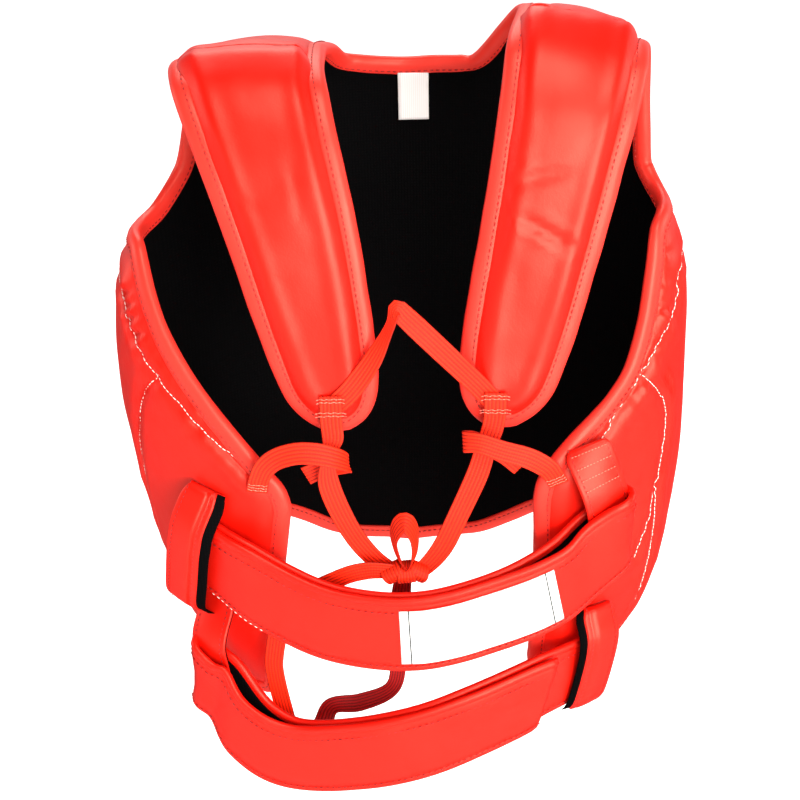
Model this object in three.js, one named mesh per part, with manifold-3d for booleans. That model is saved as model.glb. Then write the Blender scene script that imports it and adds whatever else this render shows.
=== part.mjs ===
// Padded body protector for boxing sports: a wrap-round shell that is open at the back, two shoulder
// pads, two waist straps and elastic laces. Millimetres, +Z up, the wearer faces +Y. The origin lies
// midway between the shoulders, under the crest where shell and shoulder pads meet.
import * as THREE from "three";
import Module from "manifold-3d";

// Clearances and thicknesses
const seamGap = 0.35; // gap that sewn pieces keep
const beadGap = { shell: 1.45, pad: 0.5 }; // gap between an edge and the binding round it
const liningThickness = 1.2;
const rimThickness = 6; // padded wall where the binding grips it
const padEdgeThickness = 6;
const beadReach = 7.5; // how far a binding stands beyond the edge
const beadThickness = 10;
const strapWidth = 66;
const strapThickness = 5.5;
const strapPitch = 6.4; // from layer to layer of a folded strap
const keeperThickness = 2;
const elasticWidth = 16;
const loopWidth = 18;
const elasticThickness = 1.4;

// Half widths and depths of the shell's inner face, a row for each height from hem to shoulder crest
const girthRows = [
  { z: -490, left: 164, right: 167, front: 100, rear: 94 },
  { z: -420, left: 175, right: 178, front: 110, rear: 102 },
  { z: -330, left: 187, right: 185, front: 117, rear: 109 },
  { z: -260, left: 196, right: 184, front: 121, rear: 113 },
  { z: -205, left: 201, right: 186, front: 122, rear: 113 },
  { z: -150, left: 198, right: 184, front: 122, rear: 110 },
  { z: -110, left: 191, right: 179, front: 120, rear: 104 },
  { z: -75, left: 181, right: 174, front: 117, rear: 98 },
  { z: -40, left: 173, right: 170, front: 107, rear: 90 },
  { z: -18, left: 168, right: 168, front: 80, rear: 60 },
  { z: -5, left: 167, right: 167, front: 42, rear: 40 },
  { z: 0, left: 166, right: 166, front: 0, rear: 0 },
];

// The right shoulder sits higher than the left, most of all beside the neck
const shoulderLift = { neck: 26, arm: 9, neckX: 82, armX: 160, fadeX: 50, from: -170, to: -10 };

// Padding of the shell over the distance from its bound edge
const paddingRows = [
  { edge: 0, thick: rimThickness },
  { edge: 12, thick: 11.5 },
  { edge: 30, thick: 15 },
  { edge: 55, thick: 19.5 },
  { edge: 90, thick: 22 },
  { edge: 400, thick: 22 },
];

// Outline of the shell: angles in degrees from the front middle, left and right as worn on the photo
const rearAngle = 150; // at the top of the rear edge
const rearHemAngle = { left: 137, right: 148 }; // the rear edge runs back from there to the hem
const armAngle = { left: 60, right: 72 }; // front edge of the armhole, low down
const joinHeight = -92; // level of the armhole's front corner
const neckShare = 0.28; // part of the armhole's angle that the neck takes
const neckCornerHeight = { left: -31, right: -36 };
const neckRows = [
  { share: 0, left: -41, right: -41 },
  { share: 0.12, left: -39, right: -39 },
  { share: 0.22, left: -35, right: -38 },
  { share: neckShare, ...neckCornerHeight },
];
const neckSideRows = [
  { climbed: 0, left: 16.8, right: 20.2 },
  { climbed: 0.15, left: 18.6, right: 27 },
  { climbed: 0.35, left: 20.5, right: 31 },
  { climbed: 0.6, left: 22, right: 31.5 },
  { climbed: 0.8, left: 22.7, right: 30 },
  { climbed: 1, left: 23, right: 27.4 },
];
const flareRows = [
  { rise: 0, left: 60, right: 72 },
  { rise: 0.3, left: 60, right: 73 },
  { rise: 0.6, left: 64, right: 72 },
  { rise: 0.85, left: 68, right: 69 },
  { rise: 1, left: 70, right: 67 },
];
const wingRows = [
  { share: 0, left: joinHeight, right: joinHeight },
  { share: 0.02, left: -104, right: -99 },
  { share: 0.07, left: -117, right: -106 },
  { share: 0.13, left: -125, right: -110 },
  { share: 0.24, left: -127, right: -112 },
  { share: 0.38, left: -123, right: -111 },
  { share: 0.47, left: -123, right: -116 },
  { share: 0.52, left: -131, right: -136 },
  { share: 0.59, left: -151, right: -172 },
  { share: 0.66, left: -173, right: -204 },
  { share: 0.745, left: -198, right: -223 },
  { share: 0.82, left: -221, right: -236 },
  { share: 0.89, left: -243, right: -248 },
  { share: 0.955, left: -266, right: -263 },
  { share: 0.989, left: -278, right: -276 },
  { share: 1, left: -292, right: -291 },
];
const hemRows = [
  { angle: 0, left: -462, right: -462 },
  { angle: 20, left: -452, right: -452 },
  { angle: 40, left: -418, right: -418 },
  { angle: 60, left: -408, right: -408 },
  { angle: 85, left: -426, right: -426 },
  { angle: 115, left: -455, right: -450 },
  { angle: 135, left: -477, right: -456 },
  { angle: 146, left: -484, right: -458 },
  { angle: 149, left: -480, right: -453 },
  { angle: rearAngle, left: -470, right: -443 },
]; // by the angle at the top of the rear edge

// Shoulder pads: underside of the pad from the crest to its tip, centre and half width. The right pad
// lies farther out by its shift and is narrower by its trim.
const padRows = [
  { y: -0.4, z: 0, centre: 110.5, half: 45.5, shift: 5.5, trim: 6 },
  { y: -24, z: -8, centre: 105, half: 44, shift: 7.5, trim: 4.5 },
  { y: -45, z: -34, centre: 96, half: 41.5, shift: 9, trim: 3 },
  { y: -61, z: -84, centre: 82, half: 38, shift: 11, trim: 2 },
  { y: -73, z: -145, centre: 69, half: 33.5, shift: 9.5, trim: 0.5 },
  { y: -79, z: -188, centre: 60.5, half: 29, shift: 9, trim: 0 },
  { y: -81, z: -210, centre: 57, half: 24, shift: 9, trim: 0 },
  { y: -82, z: -223, centre: 54.5, half: 15, shift: 9, trim: 0 },
  { y: -82.3, z: -229, centre: 53.5, half: 6, shift: 9, trim: 0 },
];
const padThickness = 15;

// Waist straps: middle line of the layer next to the body, from its sewn end to the fold
const upperStrapRows = [
  { angle: -122, z: -331, off: 1.4 },
  { angle: -126, z: -332, off: 1.4 },
  { angle: -130, z: -334, off: 1.4 },
  { angle: -134, z: -338, off: 1.4 },
  { x: -128, y: -105, z: -346 },
  { x: -103, y: -114, z: -360 },
  { x: -60, y: -128, z: -374 },
  { x: 0, y: -137, z: -376 },
  { x: 60, y: -129, z: -364 },
  { x: 98, y: -115, z: -350 },
  { angle: 143, z: -336, off: 1.5 },
  { angle: 137, z: -323, off: 1.8 },
  { angle: 133.5, z: -316, off: 2.4 },
];
const lowerStrapRows = [
  { angle: 130, z: -446, off: 8.4 },
  { angle: 132.5, z: -447, off: 8.4 },
  { angle: 135, z: -448, off: 8.4 },
  { angle: 138.5, z: -451, off: 8.4 },
  { x: 96, y: -109, z: -456 },
  { x: 45, y: -128, z: -469 },
  { x: 0, y: -137, z: -483 },
  { x: -50, y: -134, z: -497 },
  { x: -92, y: -124, z: -504 },
  { x: -121, y: -111, z: -494 },
  { x: -145, y: -97, z: -474 },
  { x: -160, y: -83, z: -453 },
];
const strapFoldRadius = 7;
const strapLeanRows = [
  { passed: 0, upper: 0.13, lower: 0.2 },
  { passed: 0.2, upper: 0.1, lower: 0.14 },
  { passed: 0.5, upper: 0, lower: 0.02 },
  { passed: 0.8, upper: 0.04, lower: 0.02 },
  { passed: 1, upper: 0.12, lower: 0.02 },
]; // outward lean of the upper edge from the sewn end to the fold
const freeDrop = { upper: 0, lower: 2 }; // how far the free end hangs below the layer under it
const freeSlant = { upper: 0, lower: 0.26 };

// Keepers: height and distance from the shell's inner face along each band, and how far a band settles
// into the padding where it is sewn down
const keepers = [
  {
    name: "keeper_upper_left", angle: -130, width: 46, settle: 0.6,
    rows: [
      { z: -279, out: 18.2 }, { z: -291, out: 24 }, { z: -299, out: 29 }, { z: -308, out: 32.5 },
      { z: -333, out: 34 }, { z: -363, out: 35 }, { z: -379, out: 34.5 }, { z: -387, out: 28 },
      { z: -396, out: 22 },
    ],
  },
  {
    name: "keeper_upper_right", angle: 140, width: 30, settle: 0,
    rows: [
      { z: -246, out: 12.5 }, { z: -262, out: 19 }, { z: -273, out: 24 }, { z: -281, out: 26.8 },
      { z: -300, out: 27 }, { z: -318, out: 27 },
    ],
  },
  {
    name: "keeper_lower_left", angle: -134, width: 28, settle: 0,
    rows: [
      { z: -392, out: 16.3 }, { z: -403, out: 21 }, { z: -411, out: 28 }, { z: -419, out: 36 },
      { z: -428, out: 41 }, { z: -438, out: 41.6 }, { z: -451, out: 41.8 },
    ],
  },
  {
    name: "keeper_lower_right", angle: 136, width: 31, settle: 0,
    rows: [
      { z: -394, out: 17.1 }, { z: -404, out: 20.6 }, { z: -412, out: 25.8 }, { z: -422, out: 28 },
      { z: -446, out: 28.5 }, { z: -468, out: 28.8 }, { z: -481, out: 28.4 }, { z: -489, out: 26 },
    ],
  },
];

// Elastic: points along each band and the direction its face looks
const rearward = [0, -1, 0];
const crossElasticRows = {
  left: [
    { at: [-57, -96.4, -212], face: rearward },
    { at: [-43, -96.2, -199], face: rearward },
    { at: [-24, -94, -171], face: [-0.4, -1, 0.1] },
    { at: [-6, -91, -137], face: [-1, -0.7, 0.2] },
  ],
  right: [
    { at: [-14, -91.6, -138], face: [0.3, -1, 0.3] },
    { at: [16, -94, -166], face: [0.15, -1, 0.1] },
    { at: [45, -96.2, -197], face: rearward },
    { at: [58, -96.4, -212], face: rearward },
  ],
};
const laceRows = {
  left: [
    { at: [-57, -98.3, -204], face: rearward },
    { at: [-57, -98.9, -226], face: rearward },
    { at: [-58, -102.5, -245], face: [0.2, -1, 0.1] },
    { at: [-60, -106, -271], face: [0.1, -1, 0.1] },
    { at: [-48, -107.5, -305], face: rearward },
    { at: [-34, -108, -331], face: rearward },
    { at: [-14, -109.5, -344], face: rearward },
  ],
  right: [
    { at: [57, -98.3, -204], face: rearward },
    { at: [56, -98.9, -227], face: rearward },
    { at: [50, -103.5, -244], face: [-0.2, -1, 0.1] },
    { at: [44, -106.5, -264], face: [-0.1, -1, 0.1] },
    { at: [32, -109.5, -293], face: rearward },
    { at: [19, -111.5, -325], face: rearward },
    { at: [2, -112.5, -343], face: rearward },
  ],
};
const laceLoopRows = {
  left: [
    { at: [-112, -104.2, -276], face: [0.1, -1, 0.2] },
    { at: [-109.5, -105.8, -265], face: [0.1, -1, 0.2] },
    { at: [-104.4, -108.5, -253], face: [0.1, -1, 0.3] },
    { at: [-94.5, -112, -243], face: [0, -1, 0.4] },
    { at: [-80, -113.5, -239.5], face: [0, -1, 0.4] },
    { at: [-64, -113.5, -241.5], face: [0.3, -1, 0.35] },
    { at: [-46.6, -107, -249], face: [1, -0.55, 0.3] },
    { at: [-50.5, -98.6, -256], face: [0.5, 1, 0] },
    { at: [-64, -96.8, -259], face: [0, 1, 0] },
    { at: [-77, -97, -267], face: [0, 1, 0] },
  ],
  right: [
    { at: [102.4, -105.2, -274], face: [-0.1, -1, 0.2] },
    { at: [97.4, -107.4, -264], face: [-0.1, -1, 0.2] },
    { at: [92.6, -109.5, -257], face: [-0.1, -1, 0.2] },
    { at: [79.8, -112.5, -247], face: rearward },
    { at: [61, -113.5, -239.6], face: rearward },
    { at: [45, -112, -234], face: [-0.2, -1, 0.1] },
    { at: [34.5, -105, -237], face: [-1, -0.2, 0] },
    { at: [42, -98.5, -241], face: [-0.4, 1, 0] },
    { at: [62, -96.5, -252], face: [0, 1, 0] },
    { at: [76, -97, -264], face: [0, 1, 0] },
  ],
};
const knot = { at: [-7, -116, -340], size: [20, 17, 15] };
const bowRows = {
  loop: [
    { at: [-10, -121, -337], face: [-1, -0.8, 0] },
    { at: [-15, -122, -318], face: [-1, -0.8, 0.2] },
    { at: [-15, -123, -296], face: [-1, -0.8, 0.6] },
    { at: [-8, -123, -286], face: [0, -0.6, 1] },
    { at: [-1, -123, -295], face: [1, -0.8, 0.5] },
    { at: [1, -122, -318], face: [1, -0.8, 0] },
    { at: [-4, -121, -337], face: [1, -0.8, 0] },
  ],
  tailLeft: [
    { at: [-10, -117, -340], face: rearward },
    { at: [-37, -118.5, -337], face: rearward },
    { at: [-54, -117.5, -343], face: rearward },
    { at: [-79, -110, -364], face: [-0.3, -1, 0] },
    { at: [-100, -103, -394], face: [-0.4, -1, 0] },
    { at: [-108, -104, -425], face: [-0.4, -1, 0] },
    { at: [-108, -105, -448], face: [-0.3, -1, 0] },
    { at: [-103, -106.5, -474], face: [-0.3, -1, 0] },
  ],
  tailRight: [
    { at: [-9, -116, -341], face: rearward },
    { at: [-12, -115, -372], face: [0.2, -1, 0] },
    { at: [-14, -113, -424], face: [0.3, -1, 0.1] },
    { at: [-20, -112, -454], face: [0.1, -1, 0.5] },
    { at: [-44, -111, -468], face: [0, -1, 0.7] },
    { at: [-66, -109, -473], face: [-0.3, -1, 0.2] },
    { at: [-74, -107, -492], face: rearward },
  ],
};

// Label on the upper strap and tag in the neck
const labelSpan = { from: -12, to: 101 }; // along the back
const labelHeight = 53;
const labelThickness = 0.8;
const tag = { width: 23, height: 42, thickness: 0.7, lift: 1.2, angle: 2 };

// Colours of the materials
const vinylRed = 0xe8190f;
const elasticRed = 0xee2a10;
const liningBlack = 0x0b0b0c;
const labelWhite = 0xf1efec;

const wasm = await Module();
wasm.setup();

const radians = THREE.MathUtils.degToRad;
const vector = (numbers) => new THREE.Vector3(...numbers);

// A smooth function through the rows of a table
function smoothTable(rows, key, columns) {
  const keys = Float64Array.from(rows, (row) => row[key]);
  const values = Float64Array.from(rows.flatMap((row) => columns.map((column) => row[column])));
  const curve = new THREE.CubicInterpolant(keys, values, columns.length, new Float64Array(columns.length));
  return (at) => {
    const found = curve.evaluate(THREE.MathUtils.clamp(at, keys[0], keys[keys.length - 1]));
    return Object.fromEntries(columns.map((column, i) => [column, found[i]]));
  };
}

// The value of a rising function's argument, by halving
function solveRising(rising, wanted, low, high) {
  for (let step = 0; step < 40; step += 1) {
    const middle = (low + high) / 2;
    if (rising(middle) < wanted) low = middle;
    else high = middle;
  }
  return (low + high) / 2;
}

// One closed solid from points and triangles, with its faces turned outward
function solid(points, triangles) {
  let volume = 0;
  for (const [a, b, c] of triangles) {
    volume += points[a].dot(new THREE.Vector3().crossVectors(points[b], points[c]));
  }
  const order = volume < 0 ? triangles.map(([a, b, c]) => [a, c, b]) : triangles;
  const geometry = new THREE.BufferGeometry().setFromPoints(points);
  geometry.setIndex(order.flat());
  geometry.computeVertexNormals();
  return geometry;
}

function toManifold(geometry) {
  return new wasm.Manifold(new wasm.Mesh({
    numProp: 3,
    vertProperties: Float32Array.from(geometry.attributes.position.array),
    triVerts: Uint32Array.from(geometry.index.array),
  }));
}

function fromManifold(body) {
  const mesh = body.getMesh();
  const geometry = new THREE.BufferGeometry();
  geometry.setAttribute("position", new THREE.Float32BufferAttribute(mesh.vertProperties, 3));
  geometry.setIndex(Array.from(mesh.triVerts));
  geometry.computeVertexNormals();
  return geometry;
}

function unite(geometries) {
  const [first, ...others] = geometries.map(toManifold);
  return fromManifold(others.reduce((whole, piece) => whole.add(piece), first));
}

// Shell surface: angle round the body and share of the way from hem level to shoulder crest
let arcLength = 0;
const girthArc = girthRows.map((row, i) => {
  const below = girthRows[Math.max(0, i - 1)];
  arcLength += Math.hypot(row.z - below.z, row.front - below.front);
  return { ...row, arc: arcLength };
});
const girthAt = smoothTable(girthArc, "arc", ["z", "left", "right", "front", "rear"]);
const riseAtHeight = (z) => solveRising((arc) => girthAt(arc).z, z, 0, arcLength);
const joinRise = riseAtHeight(joinHeight);
const neckRise = { left: riseAtHeight(neckCornerHeight.left), right: riseAtHeight(neckCornerHeight.right) };

// Raises a point of the right shoulder to its place
function lifted(point) {
  const { neck, arm, neckX, armX, fadeX, from, to } = shoulderLift;
  const outward = THREE.MathUtils.clamp((point.x - neckX) / (armX - neckX), 0, 1);
  const beside = THREE.MathUtils.smoothstep(point.x, fadeX, neckX);
  const above = THREE.MathUtils.smoothstep(point.z, from, to);
  point.z += THREE.MathUtils.lerp(neck, arm, outward) * beside * above;
  return point;
}

function wallBase(angle, rise) {
  const girth = girthAt(rise);
  const half = angle < 0 ? girth.left : girth.right;
  const depth = Math.cos(angle) >= 0 ? girth.front : girth.rear;
  return lifted(new THREE.Vector3(half * Math.sin(angle), depth * Math.cos(angle), girth.z));
}

// Outward direction of the wall, turned upright where it reaches the crest
function wallNormal(angle, rise) {
  const step = 0.002;
  const high = Math.min(rise + 0.5, arcLength - 2);
  const up = wallBase(angle, high).sub(wallBase(angle, high - 1));
  const along = wallBase(angle + step, high).sub(wallBase(angle - step, high));
  const normal = up.cross(along).normalize();
  const crest = THREE.MathUtils.smoothstep(rise, arcLength - 120, arcLength);
  return normal.lerp(new THREE.Vector3(0, 0, 1), crest).normalize();
}

const wallPoint = (angle, rise, out) => wallBase(angle, rise).addScaledVector(wallNormal(angle, rise), out);

// The sheet that the shell and its lining share: welded places and four-sided cells
const wingTop = smoothTable(wingRows, "share", ["left", "right"]);
const flare = smoothTable(flareRows, "rise", ["left", "right"]);
const neckLine = smoothTable(neckRows, "share", ["left", "right"]);
const neckSide = smoothTable(neckSideRows, "climbed", ["left", "right"]);
const hemLine = smoothTable(hemRows, "angle", ["left", "right"]);
const frontShares = [0, 0.1, 0.2, neckShare, 0.4, 0.53, 0.67, 0.81, 0.92, 1];
const wingShares = wingRows.map((row) => row.share);
const bodyLevels = [0, 0.06, 0.17, 0.36, 0.6, 0.81, 0.94, 1];
const chestLevels = [0, 0.4, 0.8, 1];
const tongueLevels = [0, 0.25, 0.5, 0.75, 1];

const mixed = (levels, from, to) => levels.map((level) => THREE.MathUtils.lerp(from, to, level));

function bodyColumns(side) {
  const sign = side === "left" ? -1 : 1;
  const start = armAngle[side];
  const front = frontShares.map((share) => ({ angle: start * share, back: 0, top: joinRise }));
  const wing = wingShares.slice(1).map((share) => ({
    angle: THREE.MathUtils.lerp(start, rearAngle, share),
    back: share * (rearAngle - rearHemAngle[side]),
    top: riseAtHeight(wingTop(share)[side]),
  }));
  return [...front, ...wing].map((column) => {
    const hem = riseAtHeight(hemLine(column.angle)[side]);
    return bodyLevels.map((level) => {
      const angle = column.angle - column.back * (1 - level);
      return { angle: sign * radians(angle), rise: THREE.MathUtils.lerp(hem, column.top, level) };
    });
  });
}

// Above the armhole's corner the columns fan out with the flare of the shoulder
function upperColumns(side, shares, levels, spanOf) {
  const sign = side === "left" ? -1 : 1;
  return shares.map((share) => {
    const [from, to] = spanOf(share);
    return mixed(levels, from, to).map((rise) => {
      const arm = flare((rise - joinRise) / (arcLength - joinRise))[side];
      const climbed = (rise - neckRise[side]) / (arcLength - neckRise[side]);
      const neck = climbed < 0 ? neckShare * arm : neckSide(climbed)[side];
      const beyondNeck = (share - neckShare) / (1 - neckShare);
      const angle = share < neckShare ? share * arm : THREE.MathUtils.lerp(neck, arm, beyondNeck);
      return { angle: sign * radians(angle), rise };
    });
  });
}

function buildSheet() {
  const places = [];
  const cells = [];
  const seen = new Map();
  const placeIndex = (place) => {
    const key = `${Math.round(place.angle * 1e5)} ${Math.round(place.rise * 1e3)}`;
    if (!seen.has(key)) seen.set(key, places.push(place) - 1);
    return seen.get(key);
  };
  const addPatch = (columns) => {
    for (let i = 0; i + 1 < columns.length; i += 1) {
      for (let j = 0; j + 1 < columns[i].length; j += 1) {
        const corners = [columns[i][j], columns[i][j + 1], columns[i + 1][j + 1], columns[i + 1][j]];
        cells.push(corners.map(placeIndex));
      }
    }
  };
  const tongueShares = frontShares.filter((share) => share >= neckShare);
  for (const side of ["left", "right"]) {
    const ordered = (columns) => (side === "left" ? columns.reverse() : columns);
    const neckTop = (share) => (share < neckShare ? riseAtHeight(neckLine(share)[side]) : neckRise[side]);
    const chestSpan = (share) => [joinRise, neckTop(share)];
    addPatch(ordered(bodyColumns(side)));
    addPatch(ordered(upperColumns(side, frontShares, chestLevels, chestSpan)));
    addPatch(ordered(upperColumns(side, tongueShares, tongueLevels, () => [neckRise[side], arcLength])));
  }
  return { places, cells };
}

// The sheet's outline as one closed chain of places
function outlineOf({ places, cells }) {
  const next = new Map();
  const used = new Set(cells.flatMap((cell) => cell.map((from, i) => `${from} ${cell[(i + 1) % 4]}`)));
  for (const cell of cells) {
    cell.forEach((from, i) => {
      const to = cell[(i + 1) % 4];
      if (!used.has(`${to} ${from}`)) next.set(from, to);
    });
  }
  const start = next.keys().next().value;
  const chain = [start];
  while (next.get(chain[chain.length - 1]) !== start) chain.push(next.get(chain[chain.length - 1]));
  return chain.map((index) => places[index]);
}

const sheet = buildSheet();
const outline = outlineOf(sheet);
const onCrest = (place) => arcLength - place.rise < 0.01;
const isBound = (place, i) => {
  const neighbours = [outline[(i + 1) % outline.length], outline[(i + outline.length - 1) % outline.length]];
  return !neighbours.every(onCrest) || !onCrest(place);
};
const boundPoints = outline.filter(isBound).map(({ angle, rise }) => wallBase(angle, rise));
const padding = smoothTable(paddingRows, "edge", ["thick"]);

function wallThickness({ angle, rise }) {
  const base = wallBase(angle, rise);
  const edge = Math.min(...boundPoints.map((point) => point.distanceTo(base)));
  return padding(edge).thick;
}

// A solid between two offsets of the sheet
function thicken({ places, cells }, innerAt, outerAt) {
  const count = places.length;
  const points = [...places.map(outerAt), ...places.map(innerAt)];
  const used = new Set(cells.flatMap((cell) => cell.map((from, i) => `${from} ${cell[(i + 1) % 4]}`)));
  const triangles = [];
  for (const cell of cells) {
    const [a, b, c, d] = cell;
    triangles.push([a, b, c], [a, c, d]);
    triangles.push([a + count, c + count, b + count], [a + count, d + count, c + count]);
    cell.forEach((from, i) => {
      const to = cell[(i + 1) % 4];
      if (used.has(`${to} ${from}`)) return;
      triangles.push([to, from, from + count], [to, from + count, to + count]);
    });
  }
  return solid(points, triangles);
}

const offsetPlace = ({ angle, rise }, out) => wallPoint(angle, rise, out);

function bodyShell() {
  return thicken(sheet, (place) => offsetPlace(place, 0), (place) => offsetPlace(place, wallThickness(place)));
}

function bodyLining() {
  const outer = -seamGap;
  const inner = outer - liningThickness;
  return thicken(sheet, (place) => offsetPlace(place, inner), (place) => offsetPlace(place, outer));
}

// A section carried along frames, closed with caps. Each frame has a point and two directions.
function carry(frames, section) {
  const count = section.length;
  const points = frames.flatMap((frame) => section.map(([a, b]) => frame.point.clone()
    .addScaledVector(frame.first, a * (frame.scale ?? 1)).addScaledVector(frame.second, b)));
  const triangles = [];
  for (let i = 0; i + 1 < frames.length; i += 1) {
    for (let j = 0; j < count; j += 1) {
      const a = i * count + j;
      const b = i * count + ((j + 1) % count);
      triangles.push([a, b, b + count], [a, b + count, a + count]);
    }
  }
  const last = (frames.length - 1) * count;
  for (let j = 1; j + 1 < count; j += 1) {
    triangles.push([0, j + 1, j], [last, last + j, last + j + 1]);
  }
  return solid(points, triangles);
}

function tangentAt(points, i) {
  const before = points[Math.max(0, i - 1)];
  const after = points[Math.min(points.length - 1, i + 1)];
  return after.clone().sub(before).normalize();
}

// Rounded section of a binding: it starts just beyond the edge that it grips
const beadShape = [[0, -0.5], [0.55, -0.5], [0.88, -0.3], [1, 0], [0.88, 0.3], [0.55, 0.5], [0, 0.5]];

function binding(edges, gap) {
  const section = beadShape.map(([reach, across]) => [gap + reach * beadReach, across * beadThickness]);
  const points = edges.map((edge) => edge.point);
  const frames = edges.map(({ point, normal }, i) => {
    const tangent = tangentAt(points, i);
    if (i === 0 || i === edges.length - 1) tangent.set(0, Math.sign(tangent.y), 0); // square at the crest
    const outward = tangent.clone().cross(normal).normalize();
    return { point, first: outward, second: outward.clone().cross(tangent) };
  });
  return carry(frames, section);
}

// The outline's runs between the crest's four corners, each as points with the wall's direction
function outlineRuns() {
  const start = outline.findIndex((place, i) => onCrest(place) && !onCrest(outline[(i + 1) % outline.length]));
  const turned = [...outline.slice(start), ...outline.slice(0, start)];
  const runs = [];
  turned.forEach((place, i) => {
    const before = turned[(i + turned.length - 1) % turned.length];
    if (onCrest(place) && onCrest(before) && i > 0) return;
    if (i === 0 || (onCrest(before) && !onCrest(place) && i > 1)) runs.push(i === 0 ? [] : [before]);
    runs[runs.length - 1].push(place);
  });
  return runs.map((run) => run.map((place) => {
    const middle = (wallThickness(place) - seamGap - liningThickness) / 2;
    const thickness = onCrest(place) ? (rimThickness - seamGap - liningThickness) / 2 : middle;
    return { point: offsetPlace(place, thickness), normal: wallNormal(place.angle, place.rise) };
  }));
}

// Shoulder pad: rows from crest to tip, columns across, thinner toward the bound edge
const padAt = smoothTable(
  padRows.map((row, i) => ({ ...row, station: i })), "station",
  ["y", "z", "centre", "half", "shift", "trim"],
);
const padStations = [0, 0.5, 1, 1.5, 2, 2.5, 3, 3.5, 4, 4.5, 5, 5.5, 6, 6.5, 7, 7.5, 8];
const padAcross = [-1, -0.8, -0.45, 0, 0.45, 0.8, 1];

function padFrame(side, station) {
  const sign = side === "left" ? -1 : 1;
  const row = padAt(station);
  const ahead = padAt(station + 0.1);
  const behind = padAt(station - 0.1);
  const normal = new THREE.Vector3(0, ahead.z - behind.z, behind.y - ahead.y).normalize();
  if (station === 0) normal.set(0, 0, 1);
  const right = side === "right" ? 1 : 0;
  const centre = new THREE.Vector3(sign * row.centre + right * row.shift, row.y, row.z);
  return { centre, half: row.half - right * row.trim, normal };
}

function padPoint(side, station, across, out) {
  const { centre, half, normal } = padFrame(side, station);
  return lifted(centre.add(new THREE.Vector3(across * half, 0, 0))).addScaledVector(normal, out);
}

function padThick(station, across) {
  const tip = THREE.MathUtils.smoothstep(padRows.length - 1 - station, 0, 2.4);
  return padEdgeThickness + (padThickness - padEdgeThickness) * (1 - across ** 4) * tip;
}

function shoulderPad(side) {
  const places = padStations.flatMap((station) => padAcross.map((across) => ({ station, across })));
  const width = padAcross.length;
  const cells = [];
  for (let i = 0; i + 1 < padStations.length; i += 1) {
    for (let j = 0; j + 1 < width; j += 1) {
      cells.push([i * width + j, (i + 1) * width + j, (i + 1) * width + j + 1, i * width + j + 1]);
    }
  }
  return thicken(
    { places, cells },
    ({ station, across }) => padPoint(side, station, across, 0),
    ({ station, across }) => padPoint(side, station, across, padThick(station, across)),
  );
}

function shoulderBinding(side) {
  const down = padStations.map((station) => ({ station, across: -1 }));
  const back = padStations.map((station) => ({ station, across: 1 })).reverse();
  const edges = [...down, ...back].map(({ station, across }) => ({
    point: padPoint(side, station, across, padEdgeThickness / 2),
    normal: padFrame(side, station).normal,
  }));
  return binding(edges, beadGap.pad);
}

// Flat bands: rounded rectangle for a padded strap, plain rectangle for elastic
function strapSection(width, thickness) {
  const w = width / 2;
  const t = thickness / 2;
  return [[-w, -t * 0.4], [-w + 3, -t], [w - 3, -t], [w, -t * 0.4], [w, t * 0.4], [w - 3, t], [-w + 3, t],
    [-w, t * 0.4]];
}

function bandSection(width, thickness) {
  const w = width / 2;
  const t = thickness / 2;
  return [[-w, -t], [w, -t], [w, t], [-w, t]];
}

// A row of a strap is a place in space, or an angle where the strap lies on the shell
function strapPlace(row) {
  if (row.angle === undefined) return vector([row.x, row.y, row.z]);
  const place = { angle: radians(row.angle), rise: riseAtHeight(row.z) };
  return offsetPlace(place, wallThickness(place) + seamGap + strapThickness / 2 + row.off);
}

// A folded strap: out along the body, round the fold and back on the outside to its free end
const strapLeanAt = smoothTable(strapLeanRows, "passed", ["upper", "lower"]);

function strapFrames(name, rows, freeEnd, keeperRoom) {
  const inner = new THREE.CatmullRomCurve3(rows.map(strapPlace));
  const steps = 25;
  const out = (share) => {
    const tangent = inner.getTangent(share);
    const normal = new THREE.Vector3(tangent.y, -tangent.x, 0).normalize();
    return normal.y > 0 ? normal.negate() : normal;
  };
  const stops = inner.getPoints(steps).map((point, i) => ({ point, share: i / steps }));
  const fold = inner.getPoint(1);
  const end = { tangent: inner.getTangent(1), out: out(1) };
  for (const turn of [0.2, 0.4, 0.6, 0.8]) {
    const point = fold.clone()
      .addScaledVector(end.tangent, strapFoldRadius * 1.2 * Math.sin(Math.PI * turn))
      .addScaledVector(end.out, strapFoldRadius * (1 - Math.cos(Math.PI * turn)));
    stops.push({ point, share: 1 });
  }
  for (let i = 0; i <= steps; i += 1) {
    const share = 1 - (i / steps) * (1 - freeEnd);
    const spread = THREE.MathUtils.smoothstep(share, keeperRoom.from, keeperRoom.to);
    const loose = THREE.MathUtils.smoothstep(i / steps, 0.55, 1);
    const pitch = THREE.MathUtils.lerp(strapPitch, 2 * strapFoldRadius, spread) + loose * freeDrop[name] * 0.3;
    const point = inner.getPoint(share).addScaledVector(out(share), pitch);
    point.z -= loose * freeDrop[name];
    stops.push({ point, share });
  }
  const points = stops.map((stop) => stop.point);
  return stops.map(({ point, share }, i) => {
    const tangent = tangentAt(points, i);
    const away = new THREE.Vector3(point.x, point.y, 0).normalize();
    const lean = strapLeanAt(share)[name];
    const up = new THREE.Vector3(away.x * lean, away.y * lean, 1);
    up.addScaledVector(tangent, -0.6 * up.dot(tangent)).normalize();
    const second = up.clone().cross(tangent).normalize();
    if (i === stops.length - 1) up.addScaledVector(tangent, freeSlant[name]);
    return { point, first: up, second };
  });
}

const upperStrapFrames = strapFrames("upper", upperStrapRows, 0.27, { from: 0.64, to: 0.77 });
const lowerStrapFrames = strapFrames("lower", lowerStrapRows, 0.37, { from: 0.68, to: 0.82 });
const strap = (frames) => carry(frames, strapSection(strapWidth, strapThickness));

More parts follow.
